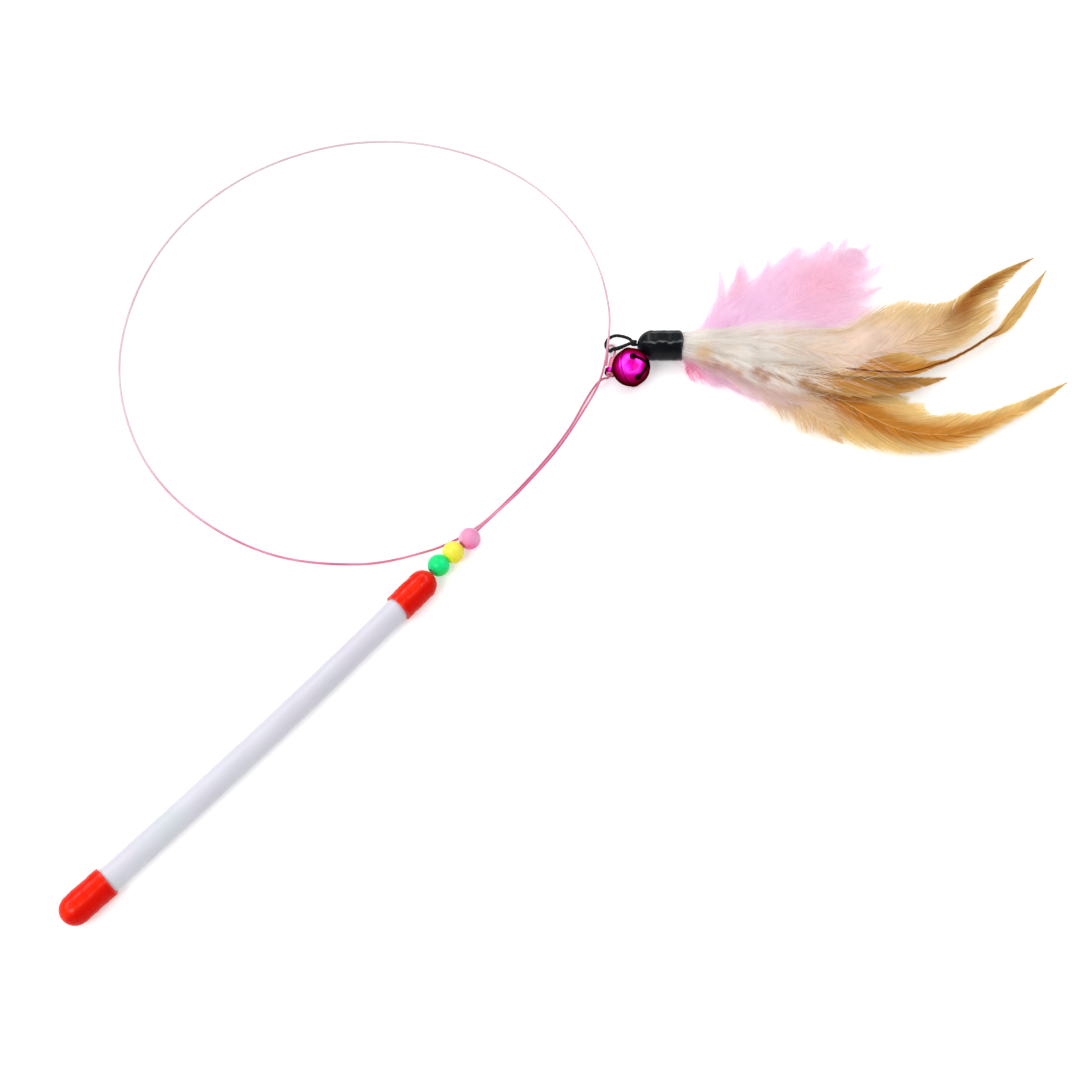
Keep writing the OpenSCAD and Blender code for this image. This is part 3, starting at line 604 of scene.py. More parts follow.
# ---- elastic
knot_at = LURE @ place(-1.35, 1.2, 0)
loop_line = moved(smooth(LOOP_ROUTE, 10), EYE)
knot_middle = np.array(knot_at.translation) * MM
ends = []
for end in (loop_line[0], loop_line[-1]):
    toward = knot_middle - end
    ends.append(end + toward * (1 - 0.95 * MM / np.linalg.norm(toward)))
loop_line = np.vstack([ends[0], loop_line, ends[1]])
radii = []
for i, point in enumerate(loop_line):
    local = LURE.inverted() @ (Vector(point) / MM)
    # the lower strand is slack and thicker between the eye and the knot
    slack = bell_curve(local.x, -6.5, 3.5) / (1 + math.exp((local.y - 0.6) / 0.3))
    radii.append((CORD_D / 2 + 0.05 + 0.03 * math.sin(i * 0.7) + 0.22 * slack) * MM)
elastic = swept("elastic_ring", loop_line, radii, MAT["braid"], 16, 0.06)
dress(elastic, "loop", "elastic_black", "elastic_loop")


def knot_line(turns, r, pitch, steps):
    """Uneven turns about the X axis."""
    shares = [i / steps for i in range(steps + 1)]
    return [(pitch * (u - 0.5) + 0.18 * math.sin(2 * a), r * math.cos(a), r * math.sin(a))
            for u, a in ((u, 2 * math.pi * turns * u) for u in shares)]


knot = swept("knot_wraps", moved(knot_line(3.6, 0.7, 1.6, 120), knot_at), [0.6 * MM] * 121, MAT["braid"])
dress(knot, "lure", "elastic_black", "cord_knot")
tail_points = [(0.3, 1.2, 0), (1.2, 1.15, 0.05), (2.2, 1.05, 0.1), (3.2, 1.1, 0.05), (3.9, 1.2, 0)]
tail_points += [(x + 4.9, 1.2 + y, z) for x, y, z in knot_line(3.0, 1.25, 1.7, 60)]
tail = swept("stopper_knot", moved(tail_points, LURE), [0.56 * MM] * len(tail_points), MAT["braid"])
dress(tail, "lure", "elastic_black", "cord_tail")

# ---- black cap
PANEL, PANEL_HALF = 1.6, 0.36  # where the flattened stretch lies round the cap, in radians
black_wave = waves((0.05, 1.1, 2, 0.6), (0.04, 2.3, 1, 1.9), (0.03, 0.8, 4, 0.2))


def black_wobble(along, radius, a):
    """A flattened stretch along the far upper side with a fold below it, and an uneven mouth."""
    if radius < FERRULE_R - FERRULE_WALL - 0.05:
        return 0, 1
    reach = 1 if along < 13 else bell_curve(along, 13, 3)
    fold = (0.16 + 0.05 * math.sin(1.3 * along)) * bell_curve(a, 1.08 + 0.05 * math.sin(0.9 * along), 0.1)
    bulge = black_wave(along, a) - 0.05 - reach * 0.3 * bell_curve(a, PANEL, 0.34) - reach * fold
    return 0.2 * math.sin(3 * a + 0.4) * max(1.4 - along, 0), (radius + min(bulge, 0.03)) / radius


def black_gloss_and_highlight(along, a):
    """A broad glossy panel on the upper side, framed by bright folds, and a dull side under it; the folds, the crest
    and a line on the dome also get a painted highlight in their colour.
    """
    edge = 1.19 + 0.05 * math.sin(0.9 * along + 0.4) + 0.03 * math.sin(2.1 * along)
    reach = 1.0 if along < 12.5 else bell_curve(along, 12.5, 2.6)
    on_panel = reach / (1 + math.exp((abs(a - PANEL) - PANEL_HALF) / 0.05))
    fold = reach * bell_curve(a, edge, 0.055) * (0.7 + 0.3 * math.sin(1.7 * along))
    crest = reach * bell_curve(a, 2.0, 0.06) * (0.7 + 0.3 * math.sin(1.1 * along + 2))
    dome_highlight = on_panel * bell_curve(along, FERRULE_LEN - 4.2, 0.45) * 0.5
    low = 0.1 / (1 + math.exp((a - 0.5) / 0.08)) if a < 3.2 else 0.1
    mouth = 0.5 * bell_curve(along, 0.3, 0.3)
    gloss = 0.03 + 0.07 * on_panel + 0.8 * fold + 0.5 * crest + low + mouth
    # the second value is a painted highlight: light grey mixed into the colour on the folds, the crest and the dome
    return gloss, 0.46 * fold + 0.3 * crest + 0.4 * dome_highlight


profile = cap_profile(FERRULE_LEN, FERRULE_R, FERRULE_R - FERRULE_WALL, CORD_HOLE_R, 0.3)
ferrule = spun("feather_vinyl", profile, FERRULE, MAT["black"], 128, black_wobble)
paint(ferrule, FERRULE, black_gloss_and_highlight)
dress(ferrule, "lure", "cap_black", "feather_cap")

# ---- thread wound round the quills
STEPS_PER_TURN = 28
turns = [i / STEPS_PER_TURN for i in range(THREAD_TURNS * STEPS_PER_TURN + 1)]
wound = [(THREAD_START + THREAD_D / 2 + THREAD_D * t, THREAD_R * math.cos(a), THREAD_R * math.sin(a))
         for t, a in ((t, 2 * math.pi * t) for t in turns)]
binding = swept("thread_winding", moved(wound, LURE), [0.29 * MM] * len(wound), MAT["thread"], 8)
dress(binding, "lure", "thread_white", "quill_binding")

# ---- feathers
# the quill's slot in the binding, then stations (x, y, z, left width, right width) in thousandths of REACH
FEATHERS = {
    "ginger_feather_1": ((0.15, 0.32), [
        (200, 0, 9, 20, 20), (310, -10, 9, 45, 35), (430, -22, 9, 60, 45), (534, -39, 11, 80, 50),
        (600, -30, 15, 105, 50), (652, -12, 19, 112, 50), (700, 10, 23, 118, 55), (734, 28, 26, 112, 62),
        (765, 47, 29, 80, 70), (790, 67, 32, 55, 76), (820, 100, 35, 26, 76), (851, 136, 39, 13, 72),
        (880, 158, 42, 12, 55), (890, 165, 42, 12, 36), (916, 181, 45, 12, 30), (960, 207, 48, 8, 16),
        (1016, 236, 52, 1, 1)]),
    "ginger_feather_2": ((-0.1, 0.08), [
        (200, -10, 2, 12, 12), (341, -39, 2, 25, 20), (480, -68, 3, 40, 20), (560, -84, 4, 50, 18),
        (607, -93, 5, 56, 15), (657, -97, 7, 58, 12), (690, -91, 9, 48, 10), (710, -84, 10, 30, 8),
        (730, -76, 11, 12, 6), (764, -62, 12, 5, 5), (820, -28, 15, 4, 4), (878, 14, 17, 4, 5), (906, 33, 20, 6, 12),
        (930, 62, 21, 8, 20), (965, 104, 23, 10, 18), (1005, 153, 25, 10, 12), (1052, 215, 27, 1, 1)]),
    "ginger_feather_3": ((0.1, -0.62), [
        (140, -8, -24.5, 5, 5), (200, -20, -25, 15, 15), (307, -50, -25, 30, 35), (410, -98, -25, 50, 60),
        (500, -148, -25, 70, 85), (568, -198, -25, 88, 85), (628, -231, -24, 92, 68), (655, -240, -24, 68, 60),
        (690, -247, -23, 86, 51), (715, -249, -23, 58, 47), (753, -249, -22, 53, 42), (800, -238, -20, 56, 36),
        (835, -227, -19, 36, 25), (893, -204, -17, 30, 14), (950, -175, -14, 20, 12), (1000, -144, -11, 14, 10),
        (1060, -106, -8, 1, 1)]),
    "ginger_feather_4": ((-0.45, -0.14), [
        (200, -14, -4, 10, 14), (340, -55, -4, 20, 35), (450, -85, -4, 28, 45), (530, -103, -3, 30, 46),
        (600, -114, -2, 26, 36), (650, -116, -1, 22, 28), (694, -111, 0, 15, 14), (730, -104, 1, 6, 10),
        (760, -99, 2, 1, 1)]),
    "ginger_feather_5": ((-0.38, -0.62), [
        (140, -18, -19, 6, 6), (200, -35, -19, 12, 12), (280, -75, -19, 30, 30), (350, -125, -19, 45, 50),
        (395, -165, -19, 52, 58), (420, -190, -18, 40, 36), (435, -206, -18, 48, 52), (455, -232, -18, 30, 28),
        (490, -280, -17, 1, 1)]),
    "white_feather_1": ((0.0, 0.8), [
        (140, 0, 26, 28, 26), (200, -2, 28, 36, 38), (280, -4, 28, 38, 50), (340, -4, 28, 52, 60),
        (400, -10, 27, 68, 64), (450, -18, 26, 60, 60), (500, -30, 25, 36, 48), (560, -45, 24, 10, 22),
        (600, -52, 24, 1, 1)]),
    "white_feather_2": ((-0.3, 0.56), [
        (140, -10, 16, 24, 24), (200, -28, 17, 34, 36), (280, -58, 17, 44, 50), (350, -85, 17, 50, 62),
        (410, -104, 17, 50, 56), (470, -113, 17, 40, 40), (530, -116, 17, 20, 20), (580, -118, 17, 1, 1)]),
    "white_feather_3": ((0.15, -0.32), [
        (140, -12, -11.5, 24, 26), (220, -45, -11.5, 40, 45), (300, -85, -11.5, 50, 58), (360, -115, -11.5, 50, 60),
        (410, -135, -11.5, 40, 48), (460, -150, -11.5, 22, 26), (500, -158, -11.5, 1, 1)]),
    "pink_plume_1": ((0.55, -0.1), [
        (140, 22, -6, 10, 10), (220, 48, -8, 35, 35), (300, 88, -8, 60, 65), (370, 125, -7, 75, 105),
        (430, 162, -6, 78, 135), (480, 195, -5, 72, 135), (520, 228, -4, 62, 110), (555, 262, -3, 45, 65),
        (580, 295, -2, 20, 25), (590, 310, -2, 1, 1)]),
    "pink_plume_2": ((0.6, -0.42), [
        (130, 22, -17.5, 6, 6), (180, 55, -18.5, 22, 28), (215, 92, -18.5, 35, 45), (240, 128, -18.5, 38, 55),
        (255, 160, -18.5, 30, 45), (265, 190, -18.5, 18, 26), (272, 225, -18.5, 10, 12), (277, 265, -18.5, 1, 1)]),
    "pink_plume_3": ((-0.15, -0.82), [
        (130, -15, -31.5, 10, 12), (165, -45, -33, 20, 40), (195, -66, -33, 24, 46), (225, -84, -33, 28, 20),
        (280, -112, -33, 30, 22), (330, -138, -33, 30, 26), (370, -158, -33, 22, 18), (410, -178, -33, 1, 1)]),
}


POINTS = 10  # on each barb
U = np.linspace(0, 1, POINTS)[None, :]


def flow(line):
    """The direction along each point of some lines, and the level direction across it, not made one long."""
    t = unit(np.gradient(line, axis=-2))
    return t, np.stack([-t[..., 1], t[..., 0], 0 * t[..., 0]], axis=-1)


class Shape:
    """A feather's shaft line and the widths of its vane, from the stations of the part's source."""

    def __init__(self, name):
        self.slot, stations = FEATHERS[name]
        s = np.array(stations) / 1000 * REACH
        y, z = BINDING_INNER * self.slot[0], BINDING_INNER * self.slot[1]
        quill = np.array([(10.2, y, z), (FERRULE_LEN - 0.6, y, z)])
        steps = 12
        self.line = smooth(np.vstack([quill, s[:, :3]]), steps)
        widths = np.vstack([[(0.4, 0.4)] * 2, s[:, 3:5]])
        station = np.arange(len(self.line)) / steps
        self.left, self.right = (np.interp(station, np.arange(len(widths)), widths[:, k]) for k in (0, 1))
        self.arc = np.concatenate([[0], np.cumsum(np.linalg.norm(np.diff(self.line, axis=0), axis=1))])
        self.start, self.end = self.arc[2 * steps], self.arc[-1]
        self.length = self.end - self.start
        self.tangent, side = flow(self.line)
        self.side = unit(side)

    def at(self, arc):
        a = np.clip(arc, 0, self.end)
        p, s = (np.stack([np.interp(a, self.arc, of[:, k]) for k in range(3)], axis=-1)
                for of in (self.line, self.side))
        return p, unit(s)

    def width(self, arc, hand):
        return np.interp(arc, self.arc, self.left if hand > 0 else self.right)

    def share(self, arc):
        return (arc - self.start) / self.length


class Strands:
    """Thin flat strands gathered into one mesh, with their own numbers for the material."""

    def __init__(self):
        self.verts, self.faces, self.data = [], [], []

    def take(self, verts, faces, numbers):
        self.faces.append(faces.reshape(-1, 4) + sum(len(v) for v in self.verts))
        self.verts.append(verts)
        self.data.append(numbers)

    def add(self, centre, width, roll, along, across, own):
        """centre is (strands, points, 3) in millimetres; the rest match it or its first axis."""
        n, k, _ = centre.shape
        t, flat = flow(centre)
        flat = unit(flat)
        roll = np.broadcast_to(np.asarray(roll)[:, None], (n, k))[..., None]
        half = (width / 2)[..., None] * (flat * np.cos(roll) + np.cross(t, flat) * np.sin(roll))
        base = np.arange(n)[:, None] * (2 * k) + np.arange(k - 1)[None, :] * 2
        numbers = [np.broadcast_to(x, (n, k)) for x in (along, across, np.asarray(own)[:, None], 0.0)]
        self.take(np.stack([centre + half, centre - half], axis=2).reshape(-1, 3),
                  np.stack([base, base + 1, base + 3, base + 2], axis=-1),
                  np.repeat(np.stack(numbers, axis=-1).reshape(-1, 4), 2, axis=0))

    def tube(self, centre, radius, sides, along):
        """The round shaft, tapered by its radii."""
        t, side = flow(centre)
        side = unit(side)
        a = 2 * np.pi * np.arange(sides) / sides
        ring = np.cos(a)[None, :, None] * side[:, None] + np.sin(a)[None, :, None] * np.cross(t, side)[:, None]
        ones = np.ones(len(centre) * sides)
        numbers = np.stack([np.repeat(along, sides), 0 * ones, 0.5 * ones, ones], axis=-1)
        self.take((centre[:, None] + radius[:, None, None] * ring).reshape(-1, 3),
                  np.array(ring_faces(len(centre), sides)), numbers)

    def build(self, name, mat):
        verts = moved(np.vstack(self.verts), LURE)
        faces = np.vstack(self.faces)
        me = bpy.data.meshes.new(name)
        me.vertices.add(len(verts))
        me.vertices.foreach_set("co", verts.astype(np.float32).ravel())
        me.loops.add(len(faces) * 4)
        me.loops.foreach_set("vertex_index", faces.astype(np.int32).ravel())
        me.polygons.add(len(faces))
        me.polygons.foreach_set("loop_start", np.arange(0, len(faces) * 4, 4, dtype=np.int32))
        me.update(calc_edges=True)
        data = np.vstack(self.data)
        for i, key in enumerate(("along", "across", "own", "shaft")):
            me.attributes.new(key, "FLOAT", "POINT").data.foreach_set("value", data[:, i].astype(np.float32))
        coat(me, mat)
        return added(name, me)


def clumps(rng, count, low, high):
    """Splits a row of barbs into runs that cling together: each barb's run's middle, and where it sits in it."""
    middle, place_in = np.zeros(count), np.zeros(count)
    i = 0
    while i < count:
        j = min(count, i + int(rng.integers(low, high + 1)))
        middle[i:j] = (i + j - 1) / 2
        place_in[i:j] = np.linspace(-1, 1, j - i) if j - i > 1 else 0
        i = j
    return middle, place_in


def tip_places(shape, root, hand, slope):
    """Where each barb ends along the shaft, for its root and its slope to the outline."""
    tip_arc = root.copy()
    for _ in range(12):
        tip_arc = 0.5 * tip_arc + 0.5 * (root + shape.width(tip_arc, hand) / slope)
    return tip_arc


def fan(shape, root, tip_arc, hand, reach, gather, bow):
    """Barbs from the shaft to their reach: their places along it, how far out they are and their lines."""
    arc = root[:, None] + (tip_arc - root)[:, None] * gather
    out = reach[:, None] * (1 - (1 - U) ** bow)
    p, s = shape.at(arc)
    return arc, out, p + hand * s * out[..., None]


def above_floor(centre):
    centre[..., 2] = np.maximum(centre[..., 2], -FERRULE_R)
    return centre


def vane_feather(name, seed, mat, slot_name, spacing=0.25, width=0.36, slant=20.0, cling=0.35, camber=0.05,
                 shaft_r=(0.42, 0.14), fray=0.06, ragged=0.06, loose=0.22, rise=None, bare=-2.0):
    """A vane of barbs that cling together, looser and downy towards its base.

    rise lifts it by (height, from, to) over a stretch of its length, so that it lies on its neighbour;
    bare is where the first barb stands, in millimetres from the first station."""
    shape = Shape(name)
    rng = np.random.default_rng(seed)
    strands = Strands()

    def lifted(arc):
        if not rise:
            return 0.0
        height, low, high = rise
        return height * np.sin(np.pi * np.clip((shape.share(arc) - low) / (high - low), 0, 1)) ** 2

    first = shape.start + bare
    n = int((shape.end - first) / spacing)
    for layer in (-0.5, 0.5):
        for hand in (1, -1):
            root = first + (np.arange(n) + rng.uniform(-0.3, 0.3, n)) * (shape.end - first) / n
            down = np.clip(1 - (root - shape.start) / (loose * shape.length), 0, 1)
            tip_arc = tip_places(shape, root, hand, math.tan(math.radians(slant)))
            tip_arc = np.minimum(tip_arc, shape.end - 0.2)
            middle, within = clumps(rng, n, 7, 22)
            held = np.interp(middle, np.arange(n), tip_arc)
            tip_arc = tip_arc + (held - tip_arc) * cling * rng.uniform(0.5, 1.0, n)
            share = 1 + ragged * np.sin(middle * 2.3 + seed) + rng.normal(0, fray, n) + down * rng.normal(-0.08, 0.2, n)
            reach = shape.width(tip_arc, hand) * share * np.where(np.abs(within) > 0.85, 0.9, 1.0)
            reach = np.maximum(reach, 0.3)
            arc, out, centre = fan(shape, root, tip_arc, hand, reach, 0.35 * U + 0.65 * U ** 1.5, 1.2)
            lift = layer * 0.25 + rng.uniform(-0.08, 0.08, n)
            fall = camber * out * (out / (np.max(reach) + 1))
            centre[..., 2] += lift[:, None] - fall + 0.12 * np.sin(within)[:, None] * U
            centre[..., 2] += lifted(arc)
            sway = down[:, None] * reach[:, None] * 0.14 * np.sin(3.0 * U + rng.uniform(0, 6.3, (n, 1))) * U
            centre += sway[..., None] * np.array([1, 0.6, 0.3])
            thin = np.minimum(1.0, 0.35 + reach[:, None] / 2.5) * (1 - 0.45 * down[:, None])
            taper = width * (1 - 0.8 * U ** 1.8) * thin
            own = np.clip(0.5 + 0.16 * rng.normal(size=n) + 0.10 * np.sin(middle * 1.7), 0, 1)
            strands.add(above_floor(centre), taper, rng.uniform(-0.35, 0.35, n) + 0.2 * hand, shape.share(arc), U, own)
    radius = shaft_r[0] + (shaft_r[1] - shaft_r[0]) * (shape.arc / shape.end) ** 0.8
    shaft = shape.line.copy()
    if rise:
        shaft[:, 2] += 0.25 + lifted(shape.arc)
    strands.tube(shaft, radius, 8, shape.share(shape.arc))
    dress(strands.build(name + "_barbs", mat), "lure", slot_name, name)


def add_hairs(strands, rng, centre, along, own, hairs, hair_len, hair_width, reach):
    """Fine hairs on both sides of soft barbs."""
    n, k, _ = centre.shape
    t, sideways = flow(centre)
    pick = rng.uniform(0.08, 1.0, (n, hairs))
    pos = pick * (k - 1)
    low = np.minimum(pos.astype(int), k - 2)
    f = (pos - low)[..., None]
    rows = np.arange(n)[:, None]
    at = centre[rows, low] * (1 - f) + centre[rows, low + 1] * f
    direction = t[rows, low]
    way = np.where(rng.uniform(size=(n, hairs)) < 0.5, 1.0, -1.0)[..., None]
    lean = rng.uniform(0.35, 1.0, (n, hairs))[..., None]
    vertical = rng.normal(0, 0.35, (n, hairs))[..., None] * np.array([0, 0, 1.0])
    d = unit(direction * (1.15 - lean * 0.6) + sideways[rows, low] * way * lean + vertical)
    size = hair_len * rng.uniform(0.4, 1.15, (n, hairs))[..., None] * np.minimum(1.0, 0.35 + reach[:, None, None] / 8)
    mid = at + d * size * 0.55 + direction * size * 0.08
    end = at + d * size * 0.9 + direction * size * 0.35 + rng.normal(0, 0.12, (n, hairs, 3)) * size
    count = n * hairs
    hair = above_floor(np.stack([at, mid, end], axis=2).reshape(count, 3, 3))
    own = np.clip(np.repeat(own, hairs) + rng.normal(0, 0.12, count), 0, 1)
    taper = np.broadcast_to(np.array([1.0, 0.8, 0.25]) * hair_width, (count, 3))
    strands.add(hair, taper, rng.uniform(-1.0, 1.0, count), along[rows, low].reshape(-1, 1), pick.reshape(-1, 1), own)


def wisp(centre, rng, size):
    """Bends barbs at random in both directions across them, more towards their tips."""
    sideways = flow(centre)[1]
    n = len(centre)
    phase = rng.uniform(0, 2 * np.pi, (n, 2))
    rate = rng.uniform(2.0, 4.2, (n, 1))
    bend = size[:, None] * U ** 1.2
    centre = centre + sideways * (bend * np.sin(rate * U + phase[:, :1]))[..., None]
    centre[..., 2] += 0.6 * bend * np.sin(0.8 * rate * U + phase[:, 1:])
    return centre


def down_feather(name, seed, mat, slot_name, barbs, barb_width, hairs, hair_len, slant, loft, curl,
                 strays, stray_len=1.3, shaft_r=(0.3, 0.08), ragged=0.16, tuft=0, turn_out=6.0, fade=1.0,
                 spikes=(), bare=-3.0):
    """Loose down: soft curving barbs in ragged clumps that carry fine hairs, with single strays.

    tuft is the number of barbs that fill the cap's mouth; fade the share of the length where the barbs
    begin to thin out; spikes are bunches of filaments (path, amount, spread, point) along the places
    (along, across) of a path in thousandths of the reach, which narrow by the share point;
    bare as in vane_feather."""
    shape = Shape(name)
    rng = np.random.default_rng(seed)
    strands = Strands()

    def grow(centre, width, along, own, hairs, hair_len, reach, bald=0):
        """Adds barbs, with hairs from the point number bald on."""
        strands.add(above_floor(centre), barb_width * width * np.ones((len(centre), 1)),
                    rng.uniform(-0.6, 0.6, len(centre)), along, U, own)
        add_hairs(strands, rng, centre[:, bald:], along[:, bald:], own, hairs, hair_len, 0.06, reach)

    layers = 3
    for layer in range(layers):
        for hand in (1, -1):
            n = barbs // layers
            root = shape.start + bare + np.sort(rng.uniform(0, 1, n)) * (shape.length - 1 - bare)
            inner = np.where(rng.uniform(size=n) < 0.3, rng.uniform(0.1, 0.5, n), 1.0)
            middle, _ = clumps(rng, n, 6, 18)
            lean = slant + turn_out * np.sin(middle * 1.3 + layer * 2 + seed) + rng.normal(0, 3.5, n)
            tip_arc = tip_places(shape, root, hand, np.tan(np.radians(np.maximum(lean, 8))))
            tip_arc = np.minimum(tip_arc, shape.end + rng.uniform(-3, 0.5, n))
            held = np.interp(middle, np.arange(n), tip_arc)
            tip_arc = tip_arc + (held - tip_arc) * rng.uniform(0.2, 0.9, n)
            share = rng.uniform(0.45, 1.0, n) ** 0.45 * (1 + ragged * np.sin(middle * 2.1 + seed * 0.7 + layer))
            reach = np.maximum(shape.width(tip_arc, hand) * share * inner, 0.5)
            thinned = np.clip((shape.share(tip_arc) - fade) / max(0.86 - fade, 0.01), 0, 1)
            kept = rng.uniform(size=n) > thinned
            if fade < 1:
                root, tip_arc, reach = root[kept], tip_arc[kept], reach[kept]
                n = len(root)
            arc, _, centre = fan(shape, root, tip_arc, hand, reach, 0.5 * U + 0.5 * U ** 1.4, 1.5)
            level = ((layer + 0.5) / layers * 2 - 1) * loft * rng.uniform(0.4, 1.0, n)
            centre[..., 2] += level[:, None] * np.sin(np.pi * np.clip(0.15 + 0.85 * U, 0, 1))
            centre = wisp(centre, rng, (0.05 + 0.07 * reach) * curl)
            own = np.clip(0.5 + 0.2 * rng.normal(size=n), 0, 1)
            grow(centre, 1 - 0.75 * U, np.clip(shape.share(arc), 0, 1), own, hairs, hair_len, reach)

    slim = 1 - 0.7 * U
    # strays
    root = shape.start + rng.uniform(0.05, 0.98, strays) * shape.length
    hand = np.where(rng.uniform(size=strays) < 0.5, 1.0, -1.0)
    widths = np.array([float(shape.width(r, h)) for r, h in zip(root, hand)])
    reach = widths * rng.uniform(1.0, stray_len, strays) + rng.uniform(0.5, 2.5, strays)
    arc = root[:, None] + (reach / np.tan(np.radians(slant)))[:, None] * U
    p, s = shape.at(arc)
    out = (hand * reach)[:, None] * (1 - (1 - U) ** 1.3)
    over = np.maximum(arc - shape.end, 0)
    centre = wisp(p + out[..., None] * s + over[..., None] * shape.tangent[-1], rng, 0.16 * reach * curl)
    own = rng.uniform(0.3, 0.9, strays)
    grow(centre, 0.8 * slim, np.clip(shape.share(arc), 0, 1), own, hairs // 2, hair_len * 0.5, reach)

    if tuft:
        mouth_r, spread_r = 4.7, 4.75
        a = rng.uniform(0, 2 * np.pi, tuft)
        r = spread_r * np.sqrt(rng.uniform(0.05, 1, tuft))
        y0 = r * np.cos(a) * 0.95 + BINDING_INNER * shape.slot[0] * 0.12
        z0 = r * np.sin(a) * 0.9 + BINDING_INNER * shape.slot[1] * 0.25
        inwards = np.minimum(1, mouth_r / np.sqrt(y0 ** 2 + z0 ** 2))
        y0, z0 = y0 * inwards, z0 * inwards
        goal = shape.start + rng.uniform(0.06, 0.35, tuft) * shape.length
        p, s = shape.at(goal)
        f = np.clip(y0 / mouth_r + rng.normal(0, 0.25, tuft), -1, 1)
        end = p + s * (f * np.where(f > 0, shape.width(goal, 1), shape.width(goal, -1)))[:, None]
        end[:, 2] += z0 * 0.35 + rng.normal(0, 0.3, tuft)
        start = np.stack([rng.uniform(13.5, 16, tuft), y0, z0], axis=-1)
        mid = np.stack([rng.uniform(19.0, 22.0, tuft), y0 * 1.38, z0 * 1.15], axis=-1)
        v = U[..., None]
        centre = (1 - v) ** 2 * start[:, None] + 2 * v * (1 - v) * mid[:, None] + v ** 2 * end[:, None]
        centre = wisp(centre, rng, np.full(tuft, 0.35 * curl))
        own = np.clip(0.55 + 0.16 * rng.normal(size=tuft), 0, 1)
        along = np.broadcast_to(U * 0.3, (tuft, POINTS))
        grow(centre, 1.2 * slim, along, own, hairs, hair_len * 0.8, np.full(tuft, 6.0), bald=4)

    for path, amount, spread, point in spikes:
        spots = np.array(path).reshape(-1, 2) / 1000 * REACH
        line = smooth([(x, y, -2.0 - 0.8 * i) for i, (x, y) in enumerate(spots)], POINTS)
        at = np.linspace(0, len(line) - 1, POINTS)[None, :] * rng.uniform(0.7, 1.0, (amount, 1))
        low = np.minimum(at.astype(int), len(line) - 2)
        part = (at - low)[..., None]
        centre = line[low] * (1 - part) + line[low + 1] * part
        offset = rng.normal(0, 1, (amount, 1, 3)) * np.array([spread, 0.5 * spread, 0.5]) * (1 - point * U)[..., None]
        centre = wisp(centre + offset, rng, rng.uniform(0.2, 0.9, amount))
        own = rng.uniform(0.35, 0.8, amount)
        along = np.broadcast_to(0.3 + 0.5 * U, (amount, POINTS))
        grow(centre, 1.2 * slim, along, own, hairs, hair_len * 0.8, np.full(amount, 5.0))

    count = int(len(shape.line) * 0.6)
    arc = shape.arc[:count]
    radius = shaft_r[0] + (shaft_r[1] - shaft_r[0]) * (arc / shape.end) ** 0.8
    strands.tube(shape.line[:count], radius, 6, np.clip(shape.share(arc), 0, 1))
    dress(strands.build(name + "_down", mat), "lure", slot_name, name)


FEATHER_WHITE, PALE_PINK = "f9f7f4", "fbe8f7"
BROWN, GINGER, DARK_SHAFT = "d4a482", "c49260", "7e3e0e"
MARKS = [
    (165, -35, 5.0, "f4debc"), (184, -12, 2.6, "c8ac88"),
    (165, -67, 3.4, "de9c86"), (192, -73, 3.4, "de9682"), (219, -82, 3.4, BROWN),
    (242, -96, 3.2, BROWN), (292, -91, 3.2, BROWN), (310, -107, 3.4, BROWN),
    (405, -129, 3.8, GINGER), (424, -144, 3.8, GINGER),
]
broad = feather_material(
    "barbs_broad", [(0.0, "fcecd8"), (0.45, "fce7d8"), (0.6, "f6d9ac"),
        (0.75, "ebc776"), (0.88, "e7bd64"), (1.0, "dbaf74")],
    "f5dea8", 0.6, [(0.0, "f6e0c4"), (0.5, "eac89c"), (0.7, "b0702c"), (1.0, "8c541e")], 0.2,
    core=("ba6c16", 1.3, [(0.62, 0), (0.72, 0.9), (0.84, 1), (0.92, 0.3)]))
curved = feather_material(
    "barbs_curved", [(0.0, "eccea0"), (0.35, "da983c"), (0.55, "d6922e"),
        (0.7, "d2923a"), (0.79, "ecc878"), (1.0, "f2d28e")],
    "f0d084", 0.6, [(0.0, DARK_SHAFT), (0.74, DARK_SHAFT), (0.8, "e0b66c"), (1.0, "ecc884")], 0.22)
long = feather_material(
    "barbs_long", [(0.0, "f8e0be"), (0.3, "f0c67e"), (0.5, "f4c460"),
        (0.68, "f6c050"), (0.85, "f8d486"), (1.0, "ecc47c")],
    "fee8a6", 0.35, "ecc276", 0.22,
    core=("d88a22", 1.15, [(0.24, 0), (0.38, 1), (0.72, 0.8), (0.85, 0)]))
short = feather_material(
    "barbs_short", [(0.0, "f4dcb8"), (0.5, "e2ae5e"), (0.75, "d69636"),
        (1.0, "deae62")], "eac47a", 0.6, "be8442", 0.22)
fringe = feather_material(
    "barbs_fringe", [(0.0, "fdecf0"), (0.5, "fceae6"), (0.7, "f0d4ac"),
        (1.0, "e6c48c")], "f2dab2", 0.5, "f0d6b0", 0.2, glow=0.04)
white = feather_material(
    "down_white", [(0.0, FEATHER_WHITE), (0.5, "f9f7f5"), (1.0, "faeede")],
    "fbf8f6", 0.6, "f6f0e6", 0.07, 0.2, lit=0.45, glow=0.03, stain="f6deb8", marks=MARKS)
cream = feather_material(
    "down_cream", [(0.0, "f8eeeb"), (0.5, "f8ebe9"), (1.0, "f4dfc8")],
    "f9edef", 0.5, "f0ded2", 0.1, 0.2, lit=0.45, glow=0.03, stain="f0ccaa", marks=MARKS)
pink = feather_material(
    "plume_pale", [(0.0, "fbe2f5"), (0.4, PALE_PINK), (0.7, "fce0ec"), (1.0, "fbe8f5")],
    "fbecf7", 0.6, "fbdcef", 0.06, 0.2, lit=0.5, glow=0.08, mottle=0.15)
